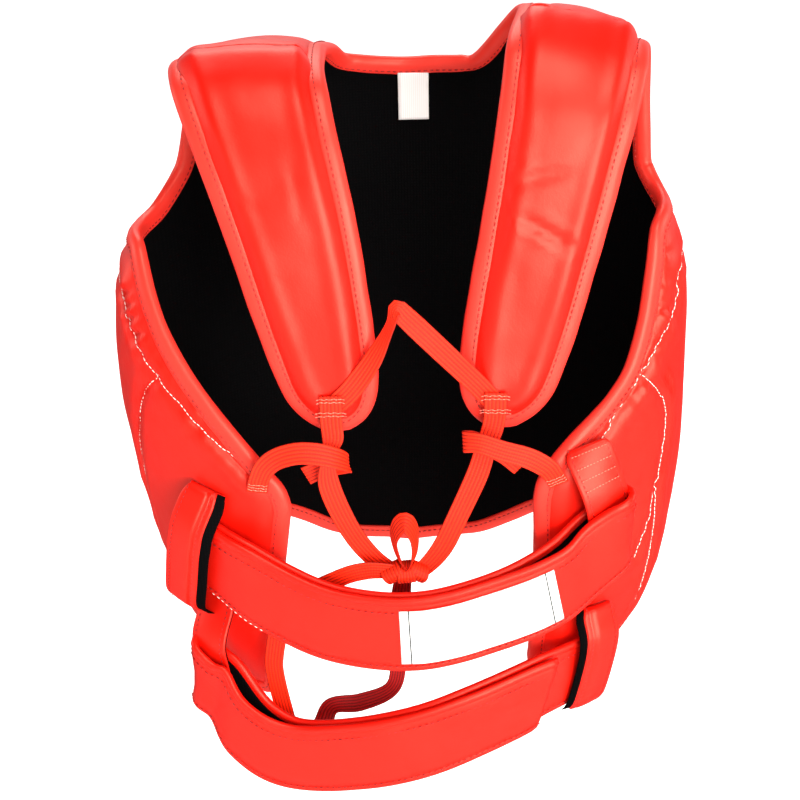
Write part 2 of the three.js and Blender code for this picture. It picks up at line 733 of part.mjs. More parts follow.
// A keeper is a band bent over its strap, so its rows are heights and distances from the shell
function keeper({ angle, width, settle, rows }) {
  const bandAt = smoothTable(rows.map((row, i) => ({ ...row, station: i })), "station", ["z", "out"]);
  const stations = rows.flatMap((row, i) => (i + 1 < rows.length ? [i, i + 0.5] : [i]));
  const middle = radians(angle);
  const reach = width / 2 / wallBase(middle, riseAtHeight(rows[0].z)).setZ(0).length();
  const across = [-1, -0.5, 0, 0.5, 1];
  const places = stations.flatMap((station) => across.map((share) => ({ station, share })));
  const cells = [];
  for (let i = 0; i + 1 < stations.length; i += 1) {
    for (let j = 0; j + 1 < across.length; j += 1) {
      const a = i * across.length + j;
      cells.push([a, a + across.length, a + across.length + 1, a + 1]);
    }
  }
  const innerAt = ({ station, share }) => {
    const row = bandAt(station);
    const place = { angle: middle + share * reach, rise: riseAtHeight(row.z) };
    return offsetPlace(place, Math.max(row.out, wallThickness(place) + seamGap - settle));
  };
  const outerAt = (place) => {
    const step = 0.05;
    const last = rows.length - 1;
    const ahead = innerAt({ ...place, station: Math.min(last, place.station + step) });
    const behind = innerAt({ ...place, station: Math.max(0, place.station - step) });
    const side = innerAt({ ...place, share: place.share + step });
    const other = innerAt({ ...place, share: place.share - step });
    const normal = side.sub(other).cross(ahead.sub(behind)).normalize();
    const point = innerAt(place);
    if (normal.x * point.x + normal.y * point.y < 0) normal.negate();
    return point.addScaledVector(normal, keeperThickness);
  };
  return thicken({ places, cells }, innerAt, outerAt);
}

// Elastic band through a table of points and faces
function elastic(rows, steps, width = elasticWidth) {
  const line = new THREE.CatmullRomCurve3(rows.map((row) => vector(row.at)));
  const faceAt = smoothTable(
    rows.map((row, i) => ({ station: i / (rows.length - 1), x: row.face[0], y: row.face[1], z: row.face[2] })),
    "station", ["x", "y", "z"],
  );
  const points = line.getPoints(steps);
  const frames = points.map((point, i) => {
    const tangent = line.getTangent(i / steps);
    const { x, y, z } = faceAt(i / steps);
    const across = tangent.clone().cross(new THREE.Vector3(x, y, z)).normalize();
    return { point, first: across, second: across.clone().cross(tangent) };
  });
  return carry(frames, bandSection(width, elasticThickness));
}

function knotGeometry(room) {
  const geometry = new THREE.IcosahedronGeometry(1, 1);
  geometry.scale(...knot.size.map((length) => length / 2 + room));
  geometry.translate(...knot.at);
  const points = [];
  const seen = new Map();
  const triangles = [];
  const position = geometry.attributes.position;
  for (let i = 0; i < position.count; i += 1) {
    const point = new THREE.Vector3().fromBufferAttribute(position, i);
    const key = point.toArray().map((value) => Math.round(value * 1e3)).join(" ");
    if (!seen.has(key)) seen.set(key, points.push(point) - 1);
    if (i % 3 === 0) triangles.push([]);
    triangles[triangles.length - 1].push(seen.get(key));
  }
  return solid(points, triangles);
}

function bow() {
  return unite([knotGeometry(0), elastic(bowRows.loop, 16), elastic(bowRows.tailLeft, 12),
    elastic(bowRows.tailRight, 14)]);
}

// A lace ends just short of the knot that it runs into
function lace(side) {
  return fromManifold(toManifold(elastic(laceRows[side], 14)).subtract(toManifold(knotGeometry(seamGap))));
}

function crossElastic() {
  return unite([elastic(crossElasticRows.left, 8), elastic(crossElasticRows.right, 8)]);
}

// Label: a thin plate that follows the outer layer of the upper strap
function strapLabel() {
  const outer = upperStrapFrames.slice(Math.ceil(upperStrapFrames.length / 2));
  const lift = strapThickness / 2 + 2 * seamGap + labelThickness / 2;
  const at = (x) => {
    const i = outer.findIndex(({ point }) => point.x < x);
    const [after, before] = [outer[i], outer[i - 1]];
    const share = (x - before.point.x) / (after.point.x - before.point.x);
    const blend = (key) => before[key].clone().lerp(after[key], share);
    const second = blend("second").normalize();
    const outward = second.y < 0 ? second.clone() : second.clone().negate();
    return { point: blend("point").addScaledVector(outward, lift), first: blend("first").normalize(), second };
  };
  const inside = outer.map(({ point }) => point.x).filter((x) => x > labelSpan.from + 0.5 && x < labelSpan.to - 0.5);
  const frames = [labelSpan.to, ...inside, labelSpan.from].map(at);
  return carry(frames, bandSection(labelHeight, labelThickness));
}

// Tag: hangs inside the neck from the top edge of the lining
function sizeTag() {
  const top = riseAtHeight(neckLine(0).left) - 1;
  const middle = radians(tag.angle);
  const drops = [0, 0.5, 1];
  const frames = drops.map((drop) => {
    const rise = top - drop * tag.height;
    const out = -seamGap - liningThickness - tag.lift - tag.thickness / 2;
    const point = wallPoint(middle, rise, out - drop * 1.5);
    return { point, first: new THREE.Vector3(1, 0, 0), second: wallNormal(middle, rise) };
  });
  return carry(frames, bandSection(tag.width, tag.thickness));
}

const part = new THREE.Group();

function addMesh(name, geometry, colour, roughness) {
  const material = new THREE.MeshStandardMaterial({ color: colour, roughness, metalness: 0 });
  const mesh = new THREE.Mesh(geometry, material);
  mesh.name = name;
  part.add(mesh);
}

const vinylRoughness = 0.35;
const clothRoughness = 0.85;
const runs = outlineRuns();
const isNeck = (run) => run.every((edge) => edge.point.y > -20 && Math.abs(edge.point.x) < 90);

addMesh("body_shell", bodyShell(), vinylRed, vinylRoughness);
addMesh("body_lining", bodyLining(), liningBlack, clothRoughness);
for (const run of runs) {
  const name = isNeck(run) ? "neck_binding" : "edge_binding";
  addMesh(name, binding(run, beadGap.shell), vinylRed, vinylRoughness);
}
for (const side of ["left", "right"]) {
  addMesh(`shoulder_pad_${side}`, shoulderPad(side), vinylRed, vinylRoughness);
  addMesh(`shoulder_binding_${side}`, shoulderBinding(side), vinylRed, vinylRoughness);
  addMesh(`lace_${side}`, lace(side), elasticRed, clothRoughness);
  addMesh(`lace_loop_${side}`, elastic(laceLoopRows[side], 18, loopWidth), elasticRed, clothRoughness);
}
addMesh("upper_strap", strap(upperStrapFrames), vinylRed, vinylRoughness);
addMesh("lower_strap", strap(lowerStrapFrames), vinylRed, vinylRoughness);
for (const band of keepers) addMesh(band.name, keeper(band), vinylRed, vinylRoughness);
addMesh("cross_elastic", crossElastic(), elasticRed, clothRoughness);
addMesh("bow", bow(), elasticRed, clothRoughness);
addMesh("strap_label", strapLabel(), labelWhite, clothRoughness);
addMesh("size_tag", sizeTag(), labelWhite, clothRoughness);

export default part;
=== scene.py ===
import math
import bmesh
import bpy
import numpy as np
from mathutils import Matrix, Vector, kdtree, noise
from mathutils.bvhtree import BVHTree


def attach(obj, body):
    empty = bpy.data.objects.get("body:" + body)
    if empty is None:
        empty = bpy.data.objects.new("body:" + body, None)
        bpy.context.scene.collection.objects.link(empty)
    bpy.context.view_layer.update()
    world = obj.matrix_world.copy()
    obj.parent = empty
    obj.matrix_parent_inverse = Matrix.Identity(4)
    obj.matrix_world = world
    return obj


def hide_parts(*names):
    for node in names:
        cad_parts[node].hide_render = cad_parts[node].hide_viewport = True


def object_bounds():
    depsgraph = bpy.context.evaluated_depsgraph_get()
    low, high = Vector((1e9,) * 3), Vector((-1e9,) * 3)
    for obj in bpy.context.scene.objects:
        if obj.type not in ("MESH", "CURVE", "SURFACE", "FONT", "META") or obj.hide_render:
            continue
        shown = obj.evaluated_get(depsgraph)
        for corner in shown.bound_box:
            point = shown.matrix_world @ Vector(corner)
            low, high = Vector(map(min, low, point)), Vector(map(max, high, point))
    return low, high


# Padded body protector in red vinyl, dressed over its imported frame. Metres, wearer faces +Y.
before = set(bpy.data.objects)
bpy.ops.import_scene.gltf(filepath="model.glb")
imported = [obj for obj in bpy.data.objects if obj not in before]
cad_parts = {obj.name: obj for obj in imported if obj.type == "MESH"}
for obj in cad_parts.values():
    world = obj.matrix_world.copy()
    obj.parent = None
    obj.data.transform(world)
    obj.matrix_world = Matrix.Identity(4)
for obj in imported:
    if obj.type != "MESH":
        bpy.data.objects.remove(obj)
cadLow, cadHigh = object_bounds()
scene = bpy.context.scene
mm = 0.001
print("frame loaded:", len(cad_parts), "nodes")


# Camera, floor and light

photoView = {"lens": 70.9, "sensor": 36.0, "distance": 1.2, "elevation": 31.0, "roll": -1.2,
             "target": (-0.009, 0.0, -0.265), "pixels": 800}


def cameraAxes():
    tilt = math.radians(photoView["elevation"])
    roll = math.radians(photoView["roll"])
    ahead = Vector((0, math.cos(tilt), -math.sin(tilt)))
    rise = Vector((0, math.sin(tilt), math.cos(tilt)))
    side = Vector((1, 0, 0))
    right = side * math.cos(roll) + rise * math.sin(roll)
    up = rise * math.cos(roll) - side * math.sin(roll)
    eye = Vector(photoView["target"]) - ahead * photoView["distance"]
    return eye, right, up, ahead


def makeCamera():
    eye, right, up, ahead = cameraAxes()
    data = bpy.data.cameras.new("photoCamera")
    data.lens = photoView["lens"]
    data.sensor_width = photoView["sensor"]
    camera = bpy.data.objects.new("photoCamera", data)
    scene.collection.objects.link(camera)
    place = Matrix((right, up, -ahead)).transposed().to_4x4()
    place.translation = eye
    camera.matrix_world = place
    scene.camera = camera


def photoRay(across, down):
    eye, right, up, ahead = cameraAxes()
    half = photoView["pixels"] / 2
    focal = photoView["lens"] / photoView["sensor"] * photoView["pixels"]
    return eye, (ahead + right * (across - half) / focal + up * (half - down) / focal).normalized()


def linear(hexColour):
    parts = [int(hexColour[i:i + 2], 16) / 255 for i in (0, 2, 4)]
    return [c / 12.92 if c <= 0.04045 else ((c + 0.055) / 1.055) ** 2.4 for c in parts] + [1.0]


# Inputs 1 to 4 of a map range are its from and to ends, 6 and 7 of a mix are its two colours
def addNode(tree, kind, settings=None, links=None):
    node = tree.nodes.new(kind)
    for key, value in (settings or {}).items():
        if isinstance(key, str) and hasattr(node, key):
            setattr(node, key, value)
        else:
            node.inputs[key].default_value = value
    for key, socket in (links or {}).items():
        tree.links.new(socket, node.inputs[key])
    return node


def newMaterial(name):
    material = bpy.data.materials.new(name)
    material.use_nodes = True
    tree = material.node_tree
    return material, tree, tree.nodes["Principled BSDF"]


def feed(tree, shader, links, values):
    for name, socket in links.items():
        tree.links.new(socket, shader.inputs[name])
    for name, value in values.items():
        shader.inputs[name].default_value = value


studio = {"floorDrop": 0.3, "floorSize": 9.0, "floorGlow": 0.8, "horizon": 0.8, "zenith": 0.1, "below": 0.1,
          "fadeUp": (0.02, 0.5), "fadeDown": (-0.25, -0.02), "warm": (1.0, 0.97, 0.91),
          "lights": [  # place, aim, size, watts
              ((0.45, -1.25, 1.9), (0, 0, -0.25), 1.2, 40),
              ((0.95, -2.1, 0.05), (0.05, 0, -0.2), 1.5, 76),
              ((-0.1, 1.5, 1.3), (0, 0, -0.1), 1.4, 26),
              ((-1.9, 0.2, 0.3), (0, 0, -0.25), 1.0, 8),
              ((1.9, 0.2, 0.3), (0, 0, -0.25), 1.0, 9)]}


def fadeOver(sky, height, ends, low, high):
    span = {1: ends[0], 2: ends[1], 3: low, 4: high}
    return addNode(sky, "ShaderNodeMapRange", span, {"Value": height}).outputs["Result"]


def makeStudio():
    world = bpy.data.worlds.new("studioWorld")
    world.use_nodes = True
    sky = world.node_tree
    toward = addNode(sky, "ShaderNodeTexCoord")
    height = addNode(sky, "ShaderNodeSeparateXYZ", None, {"Vector": toward.outputs["Generated"]}).outputs["Z"]
    up = fadeOver(sky, height, studio["fadeUp"], studio["horizon"], studio["zenith"])
    down = fadeOver(sky, height, studio["fadeDown"], studio["below"], 1.0)
    both = addNode(sky, "ShaderNodeMath", {"operation": "MULTIPLY"}, {0: up, 1: down})
    # pale at the horizon, dimmer overhead and below
    feed(sky, sky.nodes["Background"], {"Strength": both.outputs["Value"]}, {"Color": (1, 1, 1, 1)})
    scene.world = world
    for i, (place, aim, size, watts) in enumerate(studio["lights"]):
        lamp = bpy.data.lights.new(f"softbox{i}", "AREA")
        lamp.size = size
        lamp.energy = watts
        lamp.color = studio["warm"]
        obj = bpy.data.objects.new(lamp.name, lamp)
        scene.collection.objects.link(obj)
        obj.location = place
        obj.rotation_euler = (Vector(aim) - Vector(place)).to_track_quat("-Z", "Y").to_euler()
    half = studio["floorSize"] / 2
    level = cadLow.z - studio["floorDrop"]
    mesh = bpy.data.meshes.new("floor")
    mesh.from_pydata([(-half, -half, level), (half, -half, level), (half, half, level), (-half, half, level)],
                     [], [(0, 1, 2, 3)])
    floor = bpy.data.objects.new("floor", mesh)
    scene.collection.objects.link(floor)
    # matt studio paint, even and pale, glowing as a light table
    paint, tree, shader = newMaterial("whitePaint")
    feed(tree, shader, {}, {"Base Color": linear("fbfbfa"), "Roughness": 0.9, "Emission Color": (1, 1, 1, 1),
                            "Emission Strength": studio["floorGlow"]})
    mesh.materials.append(paint)
    floor.visible_glossy = False  # the gloss shows the softboxes, not the pale floor
    scene.view_settings.view_transform = "Standard"


makeCamera()
makeStudio()
print("camera, floor and light ready")


# Materials

def toneBetween(tree, share, low, high):
    ends = {"data_type": "RGBA", 6: linear(low), 7: linear(high)}
    return addNode(tree, "ShaderNodeMix", ends, {"Factor": share}).outputs[2]


def raised(tree, height, strength, depth, under=None):
    links = {"Height": height}
    if under is not None:
        links["Normal"] = under
    return addNode(tree, "ShaderNodeBump", {"Strength": strength, "Distance": depth}, links).outputs["Normal"]


def threads(tree, where, spacing, way):
    look = {"Scale": 1 / spacing, "bands_direction": way}
    return addNode(tree, "ShaderNodeTexWave", look, {"Vector": where}).outputs["Fac"]


def pvcLeather(name, face, deep, grain):
    # calendered PVC on cloth: wet-looking gloss, fine pebble grain, soft drawn creases
    material, tree, shader = newMaterial(name)
    where = addNode(tree, "ShaderNodeTexCoord").outputs["Object"]
    cloud = addNode(tree, "ShaderNodeTexNoise", {"Scale": 1 / (70 * mm), "Detail": 3.0}, {"Vector": where})
    # pebbles are about 0.7 mm on the real skin, drawn at twice that so that they show
    pebble = addNode(tree, "ShaderNodeTexVoronoi", {"Scale": 1 / (1.4 * mm)}, {"Vector": where})
    crease = addNode(tree, "ShaderNodeTexNoise", {"Scale": 1 / (16 * mm), "Detail": 5.0, "Distortion": 0.6},
                     {"Vector": where})
    fine = raised(tree, pebble.outputs["Distance"], grain, 0.12 * mm)
    wear = addNode(tree, "ShaderNodeMapRange", {3: 0.33, 4: 0.46}, {"Value": crease.outputs["Fac"]})
    feed(tree, shader, {"Base Color": toneBetween(tree, cloud.outputs["Fac"], face, deep),
                        "Normal": raised(tree, crease.outputs["Fac"], 0.25, 0.8 * mm, fine),
                        "Roughness": wear.outputs["Result"]},
         {"IOR": 1.5, "Specular IOR Level": 0.42,
          "Specular Tint": linear("ffecd2")})  # the clear top coat is faintly amber
    return material


def nylonLining():
    # plain-woven nylon: dead black with a faint thread gloss, threads of 1.2 mm, coarse so that they show
    material, tree, shader = newMaterial("nylonLining")
    where = addNode(tree, "ShaderNodeTexCoord").outputs["Object"]
    warp, weft = [threads(tree, where, 7.5 * mm, way) for way in ("Z", "X")]
    cross = addNode(tree, "ShaderNodeMath", {"operation": "MULTIPLY"}, {0: warp, 1: weft}).outputs["Value"]
    feed(tree, shader, {"Base Color": toneBetween(tree, cross, "020203", "060607"),
                        "Normal": raised(tree, cross, 0.4, 0.2 * mm)},
         {"Roughness": 0.82, "Specular IOR Level": 0.06})
    return material


def ribbedElastic(name, grooveShade, rib):
    # woven elastic: rubber cores under polyester yarn, ribs lengthwise and one fine pick each millimetre
    material, tree, shader = newMaterial(name)
    strip = addNode(tree, "ShaderNodeUVMap", {"uv_map": "strip"}).outputs["UV"]
    over = addNode(tree, "ShaderNodeSeparateXYZ", None, {"Vector": strip}).outputs["Y"]
    # painted shade: the grooves between the ribs are coloured darker, down to the first colour given, for the
    # shade that falls in them
    groove = addNode(tree, "ShaderNodeMath", {"operation": "PINGPONG", 1: 0.5}, {0: over})
    dark = addNode(tree, "ShaderNodeMapRange", {1: 0.0, 2: 0.3}, {"Value": groove.outputs["Value"]})
    feed(tree, shader, {"Base Color": toneBetween(tree, dark.outputs["Result"], grooveShade, rib),
                        "Normal": raised(tree, threads(tree, strip, 6.2 * mm, "X"), 0.35, 0.25 * mm)},
         {"Roughness": 0.62, "Specular IOR Level": 0.25})
    return material


def satinLabel(name, inked):
    # satin-woven polyester label, cut and sewn down, with a dark woven line at each inked place
    material, tree, shader = newMaterial(name)
    strip = addNode(tree, "ShaderNodeUVMap", {"uv_map": "strip"}).outputs["UV"]
    weave = threads(tree, strip, 5 * mm, "Y")
    colour = toneBetween(tree, weave, "f6f4f1", "ffffff")
    along = addNode(tree, "ShaderNodeSeparateXYZ", None, {"Vector": strip}).outputs["X"]
    for at in inked:
        line = addNode(tree, "ShaderNodeMath", {"operation": "COMPARE", 1: at, 2: 0.5 * mm}, {0: along})
        ink = addNode(tree, "ShaderNodeMix", {"data_type": "RGBA", 7: linear("2a2a2e")},
                      {"Factor": line.outputs["Value"], 6: colour})
        colour = ink.outputs[2]
    raisedWeave = raised(tree, weave, 0.3, 0.1 * mm)
    feed(tree, shader, {"Base Color": colour, "Normal": raisedWeave}, {"Roughness": 0.5})
    return material


def sewingThread(name, light, dark):
    # bonded nylon thread: two plies whose twist shows as slanted light and dark
    material, tree, shader = newMaterial(name)
    where = addNode(tree, "ShaderNodeTexCoord").outputs["Object"]
    twist = threads(tree, where, 5 * mm, "DIAGONAL")
    feed(tree, shader, {"Base Color": toneBetween(tree, twist, dark, light)}, {"Roughness": 0.55})
    return material


redVinyl = pvcLeather("pvcLeatherRed", "ee1405", "dc0f04", 0.35)
tapeVinyl = pvcLeather("pvcBindingTape", "f6382e", "ee2c22", 0.25)
blackLining = nylonLining()
elasticYarn = ribbedElastic("ribbedElastic", "a01002", "f62a03")
# the same elastic in darker colours: painted shade for a tail that hangs in shadow
shadedElastic = ribbedElastic("ribbedElasticPaintedShade", "4a0205", "a00a0c")
# the red thread is darker than the vinyl, partly its own tonal red and partly painted shade for the stitch
# holes
redThread = sewingThread("nylonThreadRed", "b0140c", "860c06")
whiteThread = sewingThread("nylonThreadWhite", "fff6ee", "f0d8cc")
paleThread = sewingThread("nylonThreadPale", "ff9a86", "f06c56")
print("materials ready")


# Mesh helpers

def cadMesh(node):
    bm = bmesh.new()
    bm.from_mesh(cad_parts[node].data)
    bmesh.ops.remove_doubles(bm, verts=bm.verts, dist=1e-6)
    bm.normal_update()
    return bm


def vectors(mesh, what):
    source = mesh.vertices if what == "co" else mesh.vertex_normals
    values = np.zeros(len(mesh.vertices) * 3)
    source.foreach_get("co" if what == "co" else "vector", values)
    return values.reshape(-1, 3)


def makePiece(name, mesh, materials, nodes=()):
    obj = bpy.data.objects.new(name, mesh)
    scene.collection.objects.link(obj)
    if mesh.materials:
        mesh.materials.clear()
    for material in materials:
        mesh.materials.append(material)
    mesh.polygons.foreach_set("use_smooth", [True] * len(mesh.polygons))
    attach(obj, "root")
    if nodes:
        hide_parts(*nodes)


def evaluatedMesh(obj):
    found = bpy.data.meshes.new_from_object(obj.evaluated_get(bpy.context.evaluated_depsgraph_get()))
    bpy.data.objects.remove(obj)
    return found


rounding = {"faceAngle": 70, "shapeAngle": 100}  # degrees within which two triangles become one face


def smoothCopy(node, levels, isEnd=None):
    bm = cadMesh(node)
    if isEnd:  # shell and pad run on into each other here, so the end stays open while it is rounded
        ends = [f for f in bm.faces if all(isEnd(v.co) for v in f.verts)]
        bmesh.ops.delete(bm, geom=ends, context="FACES_ONLY")
    bmesh.ops.join_triangles(bm, faces=bm.faces, angle_face_threshold=math.radians(rounding["faceAngle"]),
                             angle_shape_threshold=math.radians(rounding["shapeAngle"]))
    mesh = bpy.data.meshes.new(node + "Smooth")
    bm.to_mesh(mesh)
    bm.free()
    obj = bpy.data.objects.new(mesh.name, mesh)
    scene.collection.objects.link(obj)
    rounded = obj.modifiers.new("round", "SUBSURF")
    rounded.levels = levels
    rounded.render_levels = levels
    return evaluatedMesh(obj)


def closeEnds(mesh):
    bm = bmesh.new()
    bm.from_mesh(mesh)
    rim = [e for e in bm.edges if e.is_boundary]
    for edge in rim:
        edge.smooth = False
        for vertex in edge.verts:
            vertex.co.y = 0
    bmesh.ops.holes_fill(bm, edges=rim, sides=0)
    bmesh.ops.triangulate(bm, faces=[f for f in bm.faces if len(f.verts) > 4])
    bm.to_mesh(mesh)
    bm.free()


def treeOf(mesh):
    return BVHTree.FromPolygons([v.co for v in mesh.vertices], [p.vertices for p in mesh.polygons])


def rangeOf(points):
    tree = kdtree.KDTree(len(points))
    for i, point in enumerate(points):
        tree.insert(point, i)
    tree.balance()
    return tree


def smoothstep(value, low, high):
    t = min(max((value - low) / (high - low), 0), 1)
    return t * t * (3 - 2 * t)


def bell(value, over):
    return math.exp(-(value / over) ** 2)


def lineRun(points):
    return np.concatenate([[0], np.cumsum(np.linalg.norm(np.diff(points, axis=0), axis=1))])


# Smooth rows of numbers through a short table, evenly spaced along their first three columns
def smoothRows(rows, step, closed=False, between=16):
    rows = np.asarray(rows, float)
    ends = np.vstack([2 * rows[0] - rows[1], rows, 2 * rows[-1] - rows[-2]])
    if closed:
        ends = np.vstack([rows[-1], rows, rows[0], rows[1]])
        rows = np.vstack([rows, rows[0]])
    fine = []
    for i in range(len(rows) - 1):
        a, b, c, d = ends[i:i + 4]
        for t in np.linspace(0, 1, between, endpoint=False):
            fine.append(0.5 * (2 * b + (c - a) * t + (2 * a - 5 * b + 4 * c - d) * t ** 2
                               + (3 * b - a - 3 * c + d) * t ** 3))
    fine = np.array(fine + [rows[-1]])
    run = lineRun(fine[:, :3])
    at = np.linspace(0, run[-1], max(3, int(round(run[-1] / step)) + 1))
    return np.stack([np.interp(at, run, fine[:, k]) for k in range(fine.shape[1])], 1)


def relax(rows, rounds):
    rows = np.array(rows, float)
    for _ in range(rounds):
        rows[1:-1] = (rows[:-2] + 2 * rows[1:-1] + rows[2:]) / 4
    return rows


def unit(values):
    return values / np.maximum(np.linalg.norm(values, axis=-1, keepdims=True), 1e-12)


# Rings of a swept CAD solid, found from its end cap and followed ring by ring

capAngles = {"flat": 0.01, "sharp": 0.9}  # radians, within a cap and round its rim


def flatGroups(bm):
    left = dict.fromkeys(bm.faces)  # in the order of the mesh, so that every run gives the same
    while left:
        group = [left.popitem()[0]]
        for face in group:
            for other in [f for edge in face.edges for f in edge.link_faces]:
                if other in left and face.normal.angle(other.normal, 0) < capAngles["flat"]:
                    left.pop(other)
                    group.append(other)
        yield group


def loopOf(edges):
    left = list(edges)
    chain = list(left.pop(0).verts)
    while left:
        step = next((e for e in left if chain[-1] in e.verts), None)
        if step is None:
            return []
        left.remove(step)
        chain.append(step.other_vert(chain[-1]))
    return chain[:-1]


def nextRing(ring, seen):
    beside = dict.fromkeys(e.other_vert(v) for v in ring for e in v.link_edges)
    around = [v for v in beside if v not in seen]
    before = set(ring)
    edges = dict.fromkeys(e for v in around for e in v.link_edges if e.other_vert(v) in around
                          and any(before & set(f.verts) for f in e.link_faces))
    if len(around) != len(ring) or len(edges) != len(ring):
        return []
    found = loopOf(edges)
    if len(found) != len(ring):
        return []
    turns = [found[k:] + found[:k] for k in range(len(found))]
    turns += [list(reversed(turn)) for turn in turns]
    return min(turns, key=lambda turn: sum((a.co - b.co).length_squared for a, b in zip(ring, turn)))


def ringsFrom(ring):
    rings = [ring]
    seen = set(ring)
    while True:
        found = nextRing(rings[-1], seen)
        if not found:
            return np.array([[v.co[:] for v in r] for r in rings])
        seen |= set(found)
        rings.append(found)


def sweptRings(node, sides):
    bm = cadMesh(node)
    caps = []
    for group in flatGroups(bm):
        if len(group) != sides - 2:
            continue
        inside = set(group)
        rim = [e for f in group for e in f.edges if sum(o in inside for o in e.link_faces) == 1]
        if len(rim) == sides and all(e.calc_face_angle(0) > capAngles["sharp"] for e in rim):
            caps.append(loopOf(rim))
    longest = max([ringsFrom(cap) for cap in caps], key=len)
    bm.free()
    return longest


# Middle line, across direction and face direction of a flat swept band
def bandFrames(rings):
    rows = []
    for ring in rings:
        middle = ring.mean(0)
        axes = np.linalg.svd(ring - middle)[2]
        across, face = axes[0], axes[1]
        if rows:
            across = across if across @ rows[-1][3:6] > 0 else -across
            face = face if face @ rows[-1][6:9] > 0 else -face
        rows.append(np.concatenate([middle, across, face]))
    return np.array(rows)


def aheadOf(rows):
    return unit(np.gradient(rows[:, :3], axis=0))


def lineOn(rows, at, high, side=1):  # beside the middle of a band in millimetres, on its face or its back
    face = unit(rows[:, 6:9]) * side
    return np.hstack([rows[:, :3] + unit(rows[:, 3:6]) * at * mm + face * high * mm, face])


# A section carried along frames. Rows hold place, across and face; the section is in metres.
def sweep(name, rows, section, over=None, closed=False, paint=None, slant=None):
    rows = rows[:-1] if closed else rows
    count = len(rows)
    shape = np.asarray(section, float)
    if shape.ndim == 2:
        shape = np.repeat(shape[None], count, 0)
    sides = shape.shape[1]
    across, face = unit(rows[:, 3:6]), unit(rows[:, 6:9])
    wide, high = shape[:count, :, :1], shape[:count, :, 1:2]
    points = rows[:, None, :3] + across[:, None] * wide + face[:, None] * high
    if slant is not None:
        points += aheadOf(rows)[:, None] * (wide * slant[:, None, None])
    spans = count if closed else count - 1
    faces = []
    for i in range(spans):
        near, far = i * sides, (i + 1) % count * sides
        faces += [(near + j, near + (j + 1) % sides, far + (j + 1) % sides, far + j) for j in range(sides)]
    if not closed:
        faces += [tuple(range(sides - 1, -1, -1)), tuple((count - 1) * sides + j for j in range(sides))]
    mesh = bpy.data.meshes.new(name)
    mesh.from_pydata(points.reshape(-1, 3).tolist(), [], faces)
    run = lineRun(rows[:, :3])
    over = shape[0, :, 0] if over is None else over
    uv = mesh.uv_layers.new(name="strip")
    for poly in mesh.polygons:
        for loop, vertex in zip(poly.loop_indices, poly.vertices):
            uv.data[loop].uv = (run[vertex // sides], over[vertex % sides])
    if paint:
        middle = (shape[0] + np.roll(shape[0], -1, 0)) / 2
        for k in range(spans * sides):
            mesh.polygons[k].material_index = paint(middle[k % sides], run[k // sides], run[-1])
    bm = bmesh.new()
    bm.from_mesh(mesh)
    bmesh.ops.recalc_face_normals(bm, faces=bm.faces)
    bm.to_mesh(mesh)
    bm.free()
    return mesh


# Stitches: one bead of thread for each pitch along lines that lie on a surface
def stitchTree():
    tree = bpy.data.node_groups.new("stitchRow", "GeometryNodeTree")
    tree.interface.new_socket("Lines", in_out="INPUT", socket_type="NodeSocketGeometry")
    for size in ("Pitch", "Length", "Width"):
        tree.interface.new_socket(size, in_out="INPUT", socket_type="NodeSocketFloat")
    tree.interface.new_socket("Thread", in_out="INPUT", socket_type="NodeSocketMaterial")
    tree.interface.new_socket("Stitches", in_out="OUTPUT", socket_type="NodeSocketGeometry")
    given = addNode(tree, "NodeGroupInput")
    curve = addNode(tree, "GeometryNodeMeshToCurve", None, {"Mesh": given.outputs["Lines"]})
    spaced = addNode(tree, "GeometryNodeResampleCurve", {"mode": "LENGTH"},
                     {"Curve": curve.outputs["Curve"], "Length": given.outputs["Pitch"]})
    bead = addNode(tree, "GeometryNodeMeshUVSphere", {"Segments": 6, "Rings": 4, "Radius": 0.5})
    size = addNode(tree, "ShaderNodeCombineXYZ", None,
                   {"X": given.outputs["Length"], "Y": given.outputs["Width"], "Z": given.outputs["Width"]})
    thread = addNode(tree, "GeometryNodeTransform", None,
                     {"Geometry": bead.outputs["Mesh"], "Scale": size.outputs["Vector"]})
    ahead = addNode(tree, "GeometryNodeInputTangent")
    along = addNode(tree, "FunctionNodeAlignRotationToVector", {"axis": "X"},
                    {"Vector": ahead.outputs["Tangent"]})
    facing = addNode(tree, "GeometryNodeInputNamedAttribute", {"data_type": "FLOAT_VECTOR", "Name": "faceUp"})
    turned = addNode(tree, "FunctionNodeAlignRotationToVector", {"axis": "Z", "pivot_axis": "X"},
                     {"Rotation": along.outputs["Rotation"], "Vector": facing.outputs["Attribute"]})
    placed = addNode(tree, "GeometryNodeInstanceOnPoints", None,
                     {"Points": spaced.outputs["Curve"], "Instance": thread.outputs["Geometry"],
                      "Rotation": turned.outputs["Rotation"]})
    real = addNode(tree, "GeometryNodeRealizeInstances", None, {"Geometry": placed.outputs["Instances"]})
    dyed = addNode(tree, "GeometryNodeSetMaterial", None,
                   {"Geometry": real.outputs["Geometry"], "Material": given.outputs["Thread"]})
    addNode(tree, "NodeGroupOutput", None, {"Stitches": dyed.outputs["Geometry"]})
    return tree


stitchRow = stitchTree()


